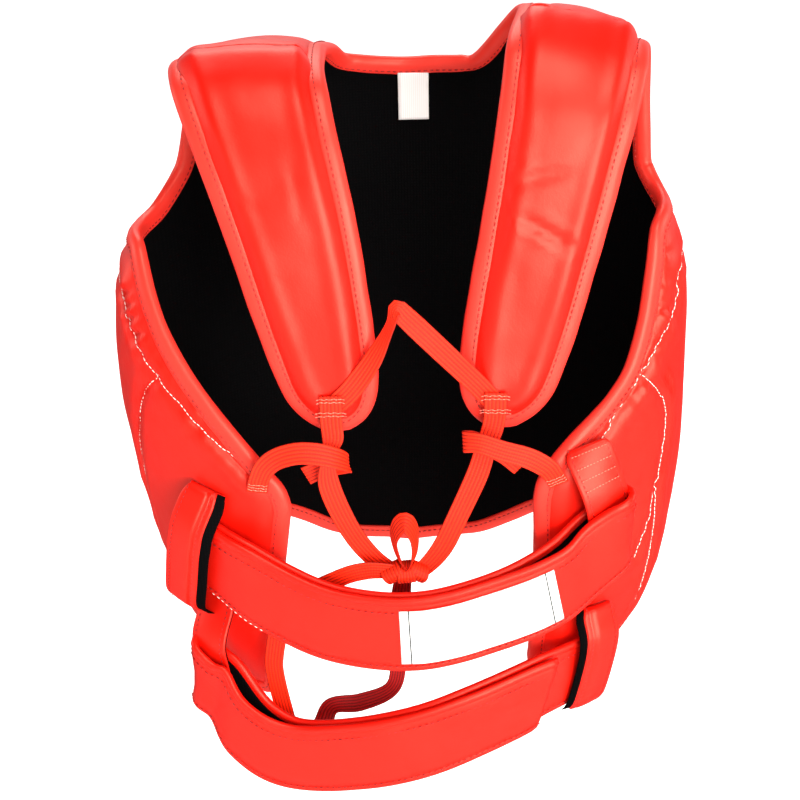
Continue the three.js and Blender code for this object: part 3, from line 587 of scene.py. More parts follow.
def sewLines(name, lines, look):
    points = np.vstack([line[:, :3] for line in lines])
    facing = np.vstack([unit(line[:, 3:6]) for line in lines])
    starts = np.cumsum([0] + [len(line) for line in lines])
    edges = [(k, k + 1) for a, b in zip(starts[:-1], starts[1:]) for k in range(a, b - 1)]
    mesh = bpy.data.meshes.new(name + "Lines")
    mesh.from_pydata((points + facing * (look["lift"] * mm)).tolist(), edges, [])
    mesh.attributes.new("faceUp", "FLOAT_VECTOR", "POINT").data.foreach_set("vector", facing.ravel())
    obj = bpy.data.objects.new(mesh.name, mesh)
    scene.collection.objects.link(obj)
    sewn = obj.modifiers.new("sewn", "NODES")
    sewn.node_group = stitchRow
    values = {size.title(): look[size] * mm for size in ("pitch", "length", "width")}
    values["Thread"] = look["thread"]
    for socket in stitchRow.interface.items_tree:
        if socket.in_out == "INPUT" and socket.name in values:
            sewn[socket.identifier] = values[socket.name]
    stitches = evaluatedMesh(obj)
    makePiece(name, stitches, [look["thread"]])
    print(name, len(stitches.polygons), "faces")


# Bindings: one tape folded over the whole padded edge, joined over the shoulders

tape = {"section": [(-5.2, 4.3), (-4.5, 5.15), (-2.0, 5.4), (1.2, 5.25), (3.8, 4.6), (6.0, 3.2), (7.2, 1.2),
                    (7.2, -1.2), (6.0, -3.2), (3.8, -4.6), (1.2, -5.25), (-2.0, -5.4), (-4.5, -5.15),
                    (-5.2, -4.3)],
        "corner": 1.15, "step": 3.2, "stitchAt": -1.2, "stitchHeight": 5.4, "waveAt": 26.0, "wave": 0.45,
        "swell": 0.1, "join": 22.0, "joinShare": 1.4, "ease": 40, "pull": 0.8}
tapeStitch = {"pitch": 4.6, "length": 3.2, "width": 1.0, "lift": 0.1, "thread": redThread}


def tapeFrames(node):
    rows = []
    for ring in sweptRings(node, sides=7):
        after = np.roll(ring, -1, 0)
        k = np.argmax(np.linalg.norm(after - ring, axis=1))  # the longest side is the one against the padding
        grip = (ring[k] + after[k]) / 2
        rise = unit(after[k] - ring[k])
        beyond = np.roll(ring, -k, 0)[2:].mean(0) - grip
        beyond = unit(beyond - rise * (beyond @ rise))
        if rows and rise @ rows[-1][6:9] < 0:
            rise = -rise
        rows.append(np.concatenate([grip, beyond, rise]))
    rows = np.array(rows)
    low = rows[np.argmin(rows[:, 2])]
    if low[6] * low[0] + low[7] * low[1] < 0:
        rows[:, 6:9] *= -1
    return rows


def tapeLoop(nodes):
    runs = [tapeFrames(node) for node in nodes]
    chain = runs.pop(0)
    joins = []
    while runs:
        near = min(runs, key=lambda r: min(np.linalg.norm(r[k, :3] - chain[-1, :3]) for k in (0, -1)))
        runs = [r for r in runs if r is not near]
        if np.linalg.norm(near[-1, :3] - chain[-1, :3]) < np.linalg.norm(near[0, :3] - chain[-1, :3]):
            near = near[::-1]
        joins.append((chain[-1, :3] + near[0, :3]) / 2)
        chain = np.vstack([chain[:-1], near[1:]])
    joins.append((chain[-1, :3] + chain[0, :3]) / 2)
    rows = smoothRows(chain[1:-1], tape["step"] * mm, closed=True)[:-1]
    near = np.min([np.linalg.norm(rows[:, :3] - join, axis=1) for join in joins], axis=0)
    share = np.clip(tape["joinShare"] - near / (tape["join"] * mm), 0, 1)[:, None]
    for _ in range(tape["ease"]):  # the tape is one length, so it runs evenly over the shoulder
        rows += share * ((np.roll(rows, 1, 0) + np.roll(rows, -1, 0)) / 2 - rows) * tape["pull"]
    return np.vstack([rows, rows[:1]])


def makeTape(name, nodes):
    rows = tapeLoop(nodes)
    section = smoothRows(np.pad(np.array(tape["section"]), ((0, 0), (0, 1))), tape["corner"])[:, :2] * mm
    shape = np.repeat(section[None], len(rows), 0)
    for i, row in enumerate(rows):  # the tape pulls a little in and out between its stitches
        spot = Vector(row[:3]) / (tape["waveAt"] * mm)
        shape[i, :, 1] *= 1 + tape["swell"] * noise.noise(spot)
        shape[i, :, 0] += noise.noise(spot + Vector((7, 3, 1))) * tape["wave"] * mm
    mesh = sweep(name, rows, shape, closed=True)
    makePiece(name, mesh, [tapeVinyl], nodes)
    lines = [lineOn(rows, tape["stitchAt"], tape["stitchHeight"], side) for side in (1, -1)]
    sewLines("tape_stitches", lines, tapeStitch)
    print(name, len(mesh.polygons), "faces")
    return rows


tapeNodes = ["edge_binding", "shoulder_binding_left", "neck_binding", "shoulder_binding_right"]
tapeTree = rangeOf(makeTape("edge_tape", tapeNodes)[:, :3])


# Padded vinyl: rolled edge, sewn grooves, puckers and hand creases, moved along the surface normals

# millimetres from the tape (edge, groove, pucker) or the seam; creaseReach and lipAt are in crease widths
padding = {"edge": (7, 18), "rollOver": 6.5, "dentAt": 55, "rippleAt": 19, "seamReach": 45,
           "groove": (4, 9), "grooveOver": 3.0, "swellAt": 11, "swellOver": 6,
           "pucker": (3, 8), "puckerAt": 9, "puckerTurn": 60, "puckerFade": 16, "puckerStart": 2,
           "creaseReach": 5, "creaseFade": 0.7, "lip": 0.35, "lipAt": 2.2}


def sculpt(mesh, isOuter, look, seams=(), creases=()):
    places, normals = vectors(mesh, "co"), vectors(mesh, "normal")
    seamTrees = [(rangeOf(s["line"][:, :3]), lineRun(s["line"][:, :3]), s) for s in seams]
    creaseTrees = [(rangeOf(c["line"][:, :3]), c) for c in creases]
    moves = np.zeros(len(places))
    for i, (place, normal) in enumerate(zip(places, normals)):
        outer = isOuter(place, normal)
        if outer <= 0:
            continue
        spot = Vector(place)
        edge = tapeTree.find(spot)[2] / mm
        inside = smoothstep(edge, *padding["edge"])
        move = look["roll"] * bell(edge - look["rollAt"], padding["rollOver"])
        move += inside * look["dents"] * noise.noise(spot / (padding["dentAt"] * mm) + Vector((3, 9, 4)))
        move += inside * look["ripple"] * noise.noise(spot / (padding["rippleAt"] * mm) + Vector((1, 2, 8)))
        for tree, run, seam in seamTrees:
            _, k, far = tree.find(spot)
            far /= mm
            if far > padding["seamReach"]:
                continue
            groove = seam["depth"] * bell(far, padding["grooveOver"])
            move -= groove * smoothstep(edge, *padding["groove"])
            move += seam["swell"] * bell(far - padding["swellAt"], padding["swellOver"]) * inside
            where = Vector((run[k] / (padding["puckerAt"] * mm), far / padding["puckerTurn"], seam["phase"]))
            pucker = seam["pucker"] * noise.noise(where) * math.exp(-far / padding["puckerFade"])
            pucker *= 1 - math.exp(-far / padding["puckerStart"])
            move += pucker * smoothstep(edge, *padding["pucker"])
        for tree, crease in creaseTrees:
            _, k, far = tree.find(spot)
            far /= mm
            width = crease["width"]
            if far < padding["creaseReach"] * width:
                fade = math.sin(math.pi * (k + 0.5) / len(crease["line"])) ** padding["creaseFade"]
                depth = crease["depth"] * fade
                move -= depth * bell(far, width)
                move += padding["lip"] * depth * bell(far - padding["lipAt"] * width, width)
        moves[i] = move * outer
    places += normals * moves[:, None] * mm
    mesh.vertices.foreach_set("co", places.ravel())
    mesh.update()


# Over the shoulders, shell and pads meet end to end at y = 0

crest = {"end": 0.6 * mm, "lowest": -40 * mm, "span": 45 * mm, "over": 14 * mm, "roll": 8 * mm,
         "reach": 30 * mm, "edge": 8 * mm, "lap": 0.9 * mm, "lapOver": 3 * mm, "facing": 0.15, "above": 0.1}


def atCrest(place):
    return abs(place.y) < crest["end"] and place.z > 0


def levelCrest(mesh, slope):
    places = vectors(mesh, "co")
    away = np.abs(places[:, 1])
    near = (places[:, 2] > crest["lowest"]) & (away < crest["span"])
    places[:, 2] += near * slope * away * np.exp(-(away / crest["over"]) ** 2)
    mesh.vertices.foreach_set("co", places.ravel())
    mesh.update()


def topOf(tree, x, y):
    hit = tree.ray_cast(Vector((x, y, crest["above"])), Vector((0, 0, -1)))[0]
    return hit.z if hit else None


def meetCrest(mesh, way, pad):  # fills the rolled end at the shoulder and brings it to the height of the pad
    own, padTree = treeOf(mesh), treeOf(pad)
    ends = [v.co.x for v in pad.vertices if abs(v.co.y) < crest["roll"] and v.co.z > crest["lowest"]]
    first, last = min(ends), max(ends)
    for vertex, up in zip(mesh.vertices, vectors(mesh, "normal")[:, 2]):
        x, away = vertex.co.x, abs(vertex.co.y)
        inside = min(x - first, last - x)
        if away > crest["reach"] or vertex.co.z < crest["lowest"] or up < crest["facing"] or inside < 0:
            continue
        level, goal = topOf(own, x, way * crest["roll"]), topOf(padTree, x, -crest["roll"])
        if level is None or goal is None:
            continue
        height = max(vertex.co.z, level) if away < crest["roll"] else vertex.co.z
        share = smoothstep(crest["reach"] - away, 0, crest["reach"]) * smoothstep(inside, 0, crest["edge"])
        vertex.co.z = height + (goal - level) * share
        vertex.co.y -= way * crest["lap"] * max(0, 1 - away / crest["lapOver"])
    mesh.update()


# Shell: a seam is its pucker, how far it strays in degrees, and its course: angle round the body from the
# front, in degrees, and height in millimetres

quilting = {
    "armhole_left": (3.0, 0, [
        (-55, -22), (-51, -48), (-49, -75), (-52, -104), (-60, -130), (-71, -146), (-84, -150), (-95.8, -152),
        (-100.9, -169), (-104.9, -184), (-110.3, -202), (-115.1, -217), (-120.2, -234), (-125.9, -251),
        (-130.8, -267)]),
    "side_left": (1.2, 0, [
        (-110.3, -202), (-106.8, -221), (-104.4, -247), (-101.6, -278), (-100, -310), (-99, -345),
        (-98.5, -385), (-98, -428)]),
    "armhole_right": (3.2, 0.9, [
        (55, -22), (51, -48), (49, -75), (52, -104), (62, -128), (75, -142), (88, -144), (98.2, -146),
        (99.5, -160), (101.5, -170), (104, -176), (107.6, -186), (110.3, -195), (112.9, -208), (117, -223),
        (121, -237), (124, -248)]),
    "side_right": (1.3, 0, [
        (112.9, -208), (111.1, -216), (107.9, -231), (106.1, -246), (106.3, -271), (107.8, -290),
        (109.2, -312), (108.6, -350), (107.4, -385), (106.5, -430)]),
    "waist_right": (0.8, 0, [
        (109, -306), (110.4, -322), (112.2, -340), (114, -362)])}
# girth: millimetres for each degree; outline: how the body's width and depth turn its outward direction
shellLook = {"roll": 0.7, "rollAt": 16.0, "dents": 1.5, "ripple": 0.3, "seamDepth": 2.3, "seamSwell": 0.9,
             "phase": 5.3, "foldDepth": 2.6, "foldWidth": 2.4, "crestSlope": 0.12, "girth": 2.4,
             "seamStep": 1.6, "zigzagAt": 0.23, "outline": (0.03, 0.017), "neck": -60 * mm,
             "outward": (0.1, 0.5)}
quiltStitch = {"pitch": 3.6, "length": 3.4, "width": 0.8, "lift": 0.2, "thread": whiteThread}
# folds between binding and seam, and on the side panel, as places on the photograph
shellFolds = [[(116, 296), (124, 293), (132, 290)], [(119, 309), (127, 306), (136, 303)],
              [(124, 321), (132, 318), (141, 316)], [(131, 335), (138, 334), (147, 333)],
              [(650, 262), (662, 256), (674, 250)], [(648, 288), (662, 282), (676, 276)],
              [(647, 312), (660, 309), (673, 309)], [(643, 338), (654, 338), (665, 341)],
              [(660, 372), (668, 380), (673, 392)]]
creaseStep = 1.5 * mm
clearOfBody = 0.6  # metres from the middle, outside the vest


def shellLine(tree, rows, zigzag):
    path = np.array([(a, z, 0) for a, z in rows], float)
    girth = shellLook["girth"]
    even = smoothRows(path * (girth, 1, 0), shellLook["seamStep"]) / (girth, 1, 1)
    line = []
    for k, (angle, height, _) in enumerate(even):
        turn = math.radians(angle + zigzag * noise.noise(Vector((k * shellLook["zigzagAt"], 4, 4))))
        out = Vector((math.sin(turn), math.cos(turn), 0))
        place, normal, _, _ = tree.ray_cast(Vector((0, 0, height * mm)) + out * clearOfBody, -out)
        if place:
            line.append((*place, *normal))
    return np.array(line)


def shellOuter(place, normal):
    wide, deep = shellLook["outline"]
    out = Vector((place[0] / wide, place[1] / deep, 0)).normalized()
    out.z = smoothstep(place[2], shellLook["neck"], 0)
    return smoothstep(out.dot(Vector(normal)), *shellLook["outward"])


def creasesOn(tree, table):
    creases = []
    for pixels, depth, width in table:
        hits = [tree.ray_cast(*photoRay(*pixel))[0] for pixel in pixels]
        line = smoothRows([h[:] for h in hits if h], creaseStep)
        creases.append({"line": line, "depth": depth, "width": width})
    return creases


shellMesh = smoothCopy("body_shell", levels=3, isEnd=atCrest)
shellTree = treeOf(shellMesh)
folds = creasesOn(shellTree, [(pixels, shellLook["foldDepth"], shellLook["foldWidth"])
                              for pixels in shellFolds])
seams = []
for k, (pucker, zigzag, course) in enumerate(quilting.values()):
    seams.append({"line": shellLine(shellTree, course, zigzag), "depth": shellLook["seamDepth"],
                  "swell": shellLook["seamSwell"], "pucker": pucker, "phase": shellLook["phase"] * k})
sculpt(shellMesh, shellOuter, shellLook, seams, folds)
levelCrest(shellMesh, shellLook["crestSlope"])
closeEnds(shellMesh)
makePiece("padded_shell", shellMesh, [redVinyl], ["body_shell"])
liningMesh = smoothCopy("body_lining", levels=2)
makePiece("shell_lining", liningMesh, [blackLining], ["body_lining"])
shellTree = treeOf(shellMesh)


def laidOn(tree, line):
    laid = []
    for row in line:
        place, normal, _, _ = tree.find_nearest(Vector(row[:3]))
        laid.append((*place, *normal))
    return np.array(laid)


sewLines("quilt_stitches", [laidOn(shellTree, s["line"]) for s in seams], quiltStitch)
print("shell ready:", len(shellMesh.polygons), "faces")


# Shoulder pads: creases are places on the photograph, laid on the pad, with depth and width

padLook = {"roll": 2.2, "rollAt": 16.0, "dents": 2.0, "ripple": 0.3, "crestSlope": 0.3, "hub": (0.06, -0.15),
           "outward": (0.05, 0.4), "red": 0.02}
padCreases = {
    "left": [([(213, 134), (222, 160), (232, 185)], 0.7, 3.0),
             ([(236, 196), (246, 204), (258, 207)], 0.8, 2.4),
             ([(288, 160), (296, 190), (302, 225)], 0.5, 3.5)],
    "right": [([(513, 216), (535, 226), (556, 238), (584, 253)], 3.2, 2.8),
              ([(507, 188), (535, 178), (574, 172)], 1.5, 3.6),
              ([(545, 247), (562, 254), (580, 262)], 1.2, 2.2),
              ([(505, 200), (508, 222), (502, 250)], 1.0, 3.0)]}


def padOuter(place, normal):
    back, high = padLook["hub"]
    out = Vector((0, place[1] - back, place[2] - high)).normalized()
    return smoothstep(out.dot(Vector(normal)), *padLook["outward"])


for padSide in ("left", "right"):
    padMesh = smoothCopy("shoulder_pad_" + padSide, levels=3, isEnd=atCrest)
    padTree = treeOf(padMesh)
    sculpt(padMesh, padOuter, padLook, (), creasesOn(padTree, padCreases[padSide]))
    levelCrest(padMesh, padLook["crestSlope"])
    closeEnds(padMesh)
    meetCrest(padMesh, -1, padMesh)
    meetCrest(shellMesh, 1, padMesh)
    makePiece("shoulder_cushion_" + padSide, padMesh, [redVinyl, blackLining],
              ["shoulder_pad_" + padSide])
    for poly in padMesh.polygons:
        poly.material_index = 0 if padOuter(poly.center, poly.normal) > padLook["red"] else 1
print("shoulder pads ready")


# Elastic bands, ribbed along their length. Routes: place in millimetres, way the face looks, share of width;
# the last two are left out where they are plain.

elastic = {"ribs": 6, "swell": 0.32, "thick": 1.3, "step": 2.0, "perRib": 4, "laceWidth": 15.5,
           "bowWidth": 15, "plain": (0, -1, 0, 1)}
# bars: distance from the band's end, width, length and count
tack = {"points": 9, "aheadRow": 4, "jog": 0.35, "stray": 0.5, "strayAt": 90, "strayTurn": 3,
        "bars": {"lace": [(2, 18, 2.5, 2), (13, 20, 2.5, 2)], "loop": [(2, 12, 5, 3)]}}
tackStitch = {"pitch": 1.7, "length": 2.2, "width": 0.6, "lift": 0.2, "thread": paleThread}
laceRoutes = {
    "left": [
        (-57, -98.3, -202), (-57, -98.9, -222), (-56.5, -100.5, -236, 0.1, -1, 0, 0.95),
        (-60, -103.5, -248, 0.5, -1, 0.1, 0.7), (-60, -106, -271, 0.1, -1, 0.1), (-48, -107.5, -305),
        (-33, -109.5, -329, 0, -1, 0, 0.95), (-17, -112.5, -341, 0, -1, 0, 0.8),
        (-7, -115, -342, 0, -1, 0, 0.7)],
    "right": [
        (57, -98.3, -202), (56, -98.9, -225), (50, -103.5, -244, -0.2, -1, 0.1, 0.95),
        (44, -106.5, -264, -0.1, -1, 0.1), (32, -109.5, -293), (19, -111.5, -323),
        (5, -113.5, -340, 0, -1, 0, 0.85), (-5, -115.5, -343, 0, -1, 0, 0.7)]}
loopRoutes = {
    "left": [
        (-112, -104.2, -276, 0.1, -1, 0.2, 0.95), (-109.5, -105.8, -265, 0.1, -1, 0.2, 0.95),
        (-104.4, -108.5, -253, 0.1, -1, 0.3), (-94.5, -112, -243, 0, -1, 0.4),
        (-80, -114, -238, 0, -1, 0.5), (-65, -114.5, -239, 0.2, -1, 0.6),
        (-53, -112.5, -244, 0.5, -0.9, 0.7, 0.95), (-46, -106.5, -252, 1, -0.4, 0.5, 0.85),
        (-50, -99.5, -258, 0.5, 1, 0, 0.85), (-64, -97, -262, 0, 1, 0, 0.95), (-77, -97, -268, 0, 1, 0)],
    "right": [
        (102.4, -105.2, -274, -0.1, -1, 0.2, 0.9), (97.4, -107.4, -264, -0.1, -1, 0.2, 0.95),
        (92.6, -109.5, -257, -0.1, -1, 0.2), (79.8, -112.5, -247, 0, -1, 0.2),
        (61, -113.5, -239.6, 0, -1, 0.1), (45, -112, -234, -0.2, -1, 0.1), (34.5, -105, -237, -1, -0.2, 0),
        (42, -98.5, -241, -0.4, 1, 0), (62, -96.5, -252, 0, 1, 0), (76, -97, -264, 0, 1, 0)]}
crossRoute = [
    (-57, -96.6, -213), (-43, -96.2, -199, 0, -1, 0.1), (-27, -94.5, -176, -0.5, -1, 0.1, 0.85),
    (-15, -92.5, -152, -1, -0.7, 0.1, 0.6), (-10.5, -91.4, -138, -0.5, -1, 0.3, 0.7),
    (-4, -91.8, -145, 0.3, -1, 0.35, 0.95), (16, -94, -166, 0.15, -1, 0.1), (45, -96.2, -197),
    (58, -96.6, -213)]
bowRoutes = {
    "loop": [
        (-8, -117, -338, -1, -0.5, 0, 0.7), (-13, -121, -322, -1, -0.4, 0.1, 0.85),
        (-15.5, -123, -303, -1, -0.4, 0.4), (-8, -123.5, -291, 0, -0.65, 1), (-1, -123, -302, 1, -0.5, 0.4),
        (-1, -121, -322, 1, -0.4, 0, 0.8), (-6, -117, -338, 1, -0.5, 0, 0.7)],
    "tail_left": [
        (-10, -117, -340, 0, -1, 0, 0.75), (-24, -118.5, -337, 0, -1, 0, 0.9), (-37, -118.5, -337),
        (-54, -117.5, -343), (-79, -110, -364, -0.3, -1, 0), (-100, -103, -394, -0.4, -1, 0),
        (-108, -104, -425, -0.4, -1, 0), (-108, -105, -448, -0.3, -1, 0), (-101, -107.5, -493, -0.3, -1, 0)],
    "tail_right": [
        (-9, -116, -341, 0, -1, 0, 0.8), (-12, -115, -372, 0.2, -1, 0),
        (-14, -113, -424, 0.5, -1, 0.1, 0.9), (-20, -112, -454, 0.1, -1, 0.5, 0.8),
        (-44, -111, -468, 0, -1, 0.7, 0.9), (-66, -109, -473, -0.3, -1, 0.2, 0.9), (-74, -107, -492)]}


def ribSection(width):
    count = elastic["ribs"] * elastic["perRib"]
    over = np.linspace(-0.5, 0.5, count + 1)
    rib = np.abs(np.sin((over + 0.5) * elastic["ribs"] * math.pi)) * elastic["swell"] - elastic["swell"]
    high = (elastic["thick"] / 2 + rib) * mm
    section = np.vstack([np.stack([over * width, high], 1), np.stack([over * width, -high], 1)[::-1]])
    return section, (np.concatenate([over, over[::-1]]) + 0.5) * elastic["ribs"]


def bandRows(route):  # place, across, face and share of width, evenly along the band
    rows = np.array([(*row, *elastic["plain"][len(row) - 3:]) for row in route], float)
    rows[:, :3] *= mm
    rows = smoothRows(rows, elastic["step"] * mm)
    ahead = aheadOf(rows)
    across = unit(np.cross(ahead, rows[:, 3:6]))
    return np.hstack([rows[:, :3], across, unit(np.cross(across, ahead)), rows[:, 6:7]])


def makeBand(name, rows, width, nodes, closed=False, yarn=elasticYarn):
    section, ribs = ribSection(width * mm)
    shape = np.repeat(section[None], len(rows), 0)
    shape[:, :, 0] *= rows[:, 9:10]
    mesh = sweep(name, rows, shape, ribs, closed)
    makePiece(name, mesh, [yarn], nodes)


def tackLines(row, ahead, width, length, count):  # bars of zigzag sewn over the face of a band end
    across, face = unit(row[3:6]), unit(row[6:9])
    lines = []
    for k in range(count):
        middle = row[:3] + ahead * length * (k / (count - 1)) + face * elastic["thick"] / 2 * mm
        bar = []
        for j, s in enumerate(np.linspace(-0.5, 0.5, tack["points"])):
            stray = noise.noise(Vector(middle) * tack["strayAt"] + Vector((s * tack["strayTurn"], k, 0)))
            jog = (tack["jog"] * (-1) ** j + tack["stray"] * stray) * mm
            bar.append(np.concatenate([middle + across * s * width + ahead * jog, face]))
        lines.append(np.array(bar))
    return lines


tacks = []
for bandSide in ("left", "right"):
    for part, routes, node in (("lace", laceRoutes, "lace_"), ("loop", loopRoutes, "lace_loop_")):
        rows = bandRows(routes[bandSide])
        makeBand(f"elastic_{part}_{bandSide}", rows, elastic["laceWidth"], [node + bandSide])
        ahead = unit(rows[tack["aheadRow"], :3] - rows[0, :3])
        for at, width, length, count in tack["bars"][part]:
            start = np.concatenate([rows[0, :3] + ahead * at * mm, rows[0, 3:]])
            tacks += tackLines(start, ahead, width * mm, length * mm, count)
sewLines("elastic_tacks", tacks, tackStitch)
makeBand("elastic_cross", bandRows(crossRoute), elastic["laceWidth"], ["cross_elastic"])
for part, route in bowRoutes.items():
    yarn = shadedElastic if part == "tail_right" else elasticYarn  # this tail is coloured darker with painted shade, for the shadow it hangs in
    makeBand("bow_" + part, bandRows(route), elastic["bowWidth"], ["bow"], yarn=yarn)
knot = {"at": (-7, -116, -340), "deep": 7.6, "high": 6.6, "points": 24, "uneven": 0.12,
        "wraps": [(-9.0, 0.5, 14.0, 1.0), (8.0, -0.45, 13.0, 0.93), (0.0, 0.1, 12.0, 1.12)]}
for k, (offset, tilt, width, grow) in enumerate(knot["wraps"]):
    turns = np.linspace(0, 2 * math.pi, knot["points"], endpoint=False)[:, None]
    lean = np.array([math.cos(tilt), 0, math.sin(tilt)])
    upright = np.array([-math.sin(tilt), 0, math.cos(tilt)])
    out = np.array([0, -1, 0]) * np.cos(turns) * knot["deep"] * grow
    out = out + upright * np.sin(turns) * knot["high"] * grow
    place = (np.array(knot["at"]) + (offset, 0, 0) + out) * mm
    share = 1 + knot["uneven"] * np.sin(turns * 2 + k)
    rows = np.hstack([place, np.repeat(lean[None], len(turns), 0), unit(out), share])
    makeBand(f"bow_knot_{k}", np.vstack([rows, rows[:1]]), width, ["bow"], closed=True)
print("elastic ready")


# Waist straps: red outside, fastening tape inside the fold, rolled and stitched along both edges

strapShape = {"step": 3.0, "round": 4, "topStitch": 21.5, "lowStitch": 27.3, "stitchHeight": 3.0,
              "blackWithin": 26.0, "tapeFrom": 0.3, "wave": 2.2, "waveAt": 40.0, "waveWithin": 34,
              "slantOver": 45,
              "profile": [(33.0, 0.0), (32.8, 1.1), (32.0, 2.1), (30.6, 2.75), (29.0, 2.8), (27.9, 2.45),
                          (27.3, 2.25), (26.6, 2.5), (24.5, 2.85), (15.0, 3.05), (0.0, 3.1)]}
strapStitch = {"pitch": 4.8, "length": 3.4, "width": 1.0, "lift": 0.1, "thread": redThread}
edgeStitch = {"pitch": 4.2, "length": 3.0, "width": 0.9, "lift": 0.1, "thread": whiteThread}
# slant of the free end, and how much longer than the solid each end is
strapEnds = {"upper": {"slant": 0.0, "free": 14.0, "sewn": -14.0},
             "lower": {"slant": 0.1, "free": 2.0, "sewn": 0.0}}
# how the lower strap sits at its left fold: layer next to the body drawn up, outer layer with a waist
foldSet = {"rise": 15.0, "riseAt": 46.0, "riseOver": 24.0, "waist": 8.0, "waistAt": 33.0, "waistOver": 13.0,
           "dent": 4.0}
# low on the upper strap, from its free end
whiteEdge = {"at": -30.6, "from": 10.0, "to": 62.0, "height": 2.7}


def strapSection():
    half = np.array(strapShape["profile"]) * mm
    upper = np.vstack([half, half[:-1][::-1] * (-1, 1)])
    return np.vstack([upper, upper[::-1][1:-1] * (1, -1)])


def foldSide(rows):  # the side of the band that lies inside its fold
    bend = rows[:-2, :3] + rows[2:, :3] - 2 * rows[1:-1, :3]
    return np.sign((bend * rows[1:-1, 6:9]).sum())


def strapPaint(middle, run, total):
    taped = abs(middle[0]) < strapShape["blackWithin"] * mm and run > strapShape["tapeFrom"] * total
    return 1 if middle[1] < 0 and taped else 0


def wavySection(rows):
    flat = strapSection()
    shape = np.repeat(flat[None], len(rows), 0)
    over = 1 - (flat[:, 0] / (strapShape["waveWithin"] * mm)) ** 2
    for i, row in enumerate(rows):
        for j, across in enumerate(flat[:, 0]):
            spot = (Vector(row[:3]) + Vector(row[3:6]) * across) / (strapShape["waveAt"] * mm)
            shape[i, j, 1] += strapShape["wave"] * mm * over[j] * noise.noise(spot)
    return shape


def settleFold(rows):
    fold = np.argmin(rows[:, 0])
    run = lineRun(rows[:, :3])
    away = (run - run[fold]) / mm
    rise = foldSet["rise"] * np.exp(-((-away - foldSet["riseAt"]) / foldSet["riseOver"]) ** 2)
    hump = np.exp(-((away - foldSet["waistAt"]) / foldSet["waistOver"]) ** 2)
    rows[:, 2] += (rise + foldSet["waist"] * hump) * mm
    rows[:, :3] -= unit(rows[:, 6:9]) * (foldSet["dent"] * hump * mm)[:, None]


strapLines, whiteLines = [], []
for strapName, ends in strapEnds.items():
    rows = bandFrames(sweptRings(strapName + "_strap", sides=8))
    if abs(rows[0, 0]) < abs(rows[-1, 0]):
        rows = rows[::-1]  # from the sewn end, which is farther round the side, to the free end
    rows[-1, :3] += unit(rows[-1, :3] - rows[-2, :3]) * ends["free"] * mm
    rows[0, :3] += unit(rows[0, :3] - rows[1, :3]) * ends["sewn"] * mm
    rows = relax(smoothRows(rows, strapShape["step"] * mm), strapShape["round"])
    if foldSide(rows) > 0:
        rows[:, 6:9] *= -1  # the face direction now looks away from the fastening tape
    if rows[:, 5].mean() < 0:
        rows[:, 3:6] *= -1  # across points up
    if strapName == "lower":
        settleFold(rows)
    fromEnd = lineRun(rows[:, :3])[-1] - lineRun(rows[:, :3])
    slant = ends["slant"] * np.clip(1 - fromEnd / (strapShape["slantOver"] * mm), 0, 1)
    mesh = sweep("waist_strap_" + strapName, rows, wavySection(rows), paint=strapPaint, slant=slant)
    makePiece(mesh.name, mesh, [redVinyl, blackLining], [strapName + "_strap"])
    for at in (strapShape["topStitch"], -strapShape["lowStitch"]):
        for side in (-1, 1):
            line = lineOn(rows, at, strapShape["stitchHeight"], side)
            line[:, :3] += aheadOf(rows) * slant[:, None] * at * mm
            # the fastening tape has no stitches
            strapLines.append(line if side > 0 else line[:int(strapShape["tapeFrom"] * len(line))])
    if strapName == "upper":
        shown = (fromEnd > whiteEdge["from"] * mm) & (fromEnd < whiteEdge["to"] * mm)
        whiteLines.append(lineOn(rows, whiteEdge["at"], whiteEdge["height"])[shown])
sewLines("strap_stitches", strapLines, strapStitch)
sewLines("strap_edge_stitches", whiteLines, edgeStitch)
print("waist straps ready")


# Keepers: doubled vinyl bands sewn to the shell, lined where the strap runs through

# rim: inset and height, crown: share of half width and height; heights are shares of half the thickness
keeper = {"step": 2.0, "round": 6, "thick": 2.6, "bow": 0.9, "edge": 4.0, "corner": 0.22, "cornerOver": 0.09,
          "slideWay": (-0.6, 0.45, 0.65), "pivot": 0.2, "ease": 12, "standEarly": 0.6, "standFull": 0.7,
          "rim": [(0, -0.1), (0.3, 0.7), (1.5, 1), (4, 0.9), (6, 1.1)],
          "crown": [(0.3, 1.35), (0, 1.45), (-0.4, 1.35)], "under": (-0.4, 0, 0.4, 1), "underInset": 0.3,
          "ledgeHigh": (-0.4, -0.35), "ledgeGap": 0.4, "lined": 0.3, "stitchHeight": 0.35,
          "tabRows": (2, 6, 10, 14), "tabWide": 0.36, "tabPoints": 7, "tabHeight": 0.6}
# stand: bulge over the strap; ledge: black lining drawn out beside the vinyl, partly the keeper's own lining
# and partly painted shade for the gap beside the strap; lean: foot moved along the shell; slide: along the
# strap; trim: taken off its outer edge
plainFit = {"stand": 1.0, "ledge": 0.0, "lean": 0.0, "slide": 0.0, "trim": 0.0}
keeperFit = {"upper_left": {"stand": 5.0, "ledge": 7.5, "lean": 30.0, "trim": 12.0},
             "upper_right": {"stand": 2.0, "lean": -14.0},
             "lower_left": {"slide": 20.0},
             "lower_right": {"stand": 4.0, "ledge": -6.0}}
keeperStitch = {"pitch": 4.0, "length": 2.8, "width": 0.8, "lift": 0.05, "thread": redThread}
tabStitch = {"pitch": 2.4, "length": 2.0, "width": 0.7, "lift": 0.1, "thread": paleThread}


def keeperRings(node, columns=10):
    bm = cadMesh(node)
    top = dict.fromkeys(sorted(bm.verts, key=lambda v: -v.co.z)[:columns])
    edges = dict.fromkeys(e for v in top for e in v.link_edges if e.other_vert(v) in top
                          and any(set(f.verts) - set(top) for f in e.link_faces))
    rings = ringsFrom(loopOf(edges))
    bm.free()
    return rings


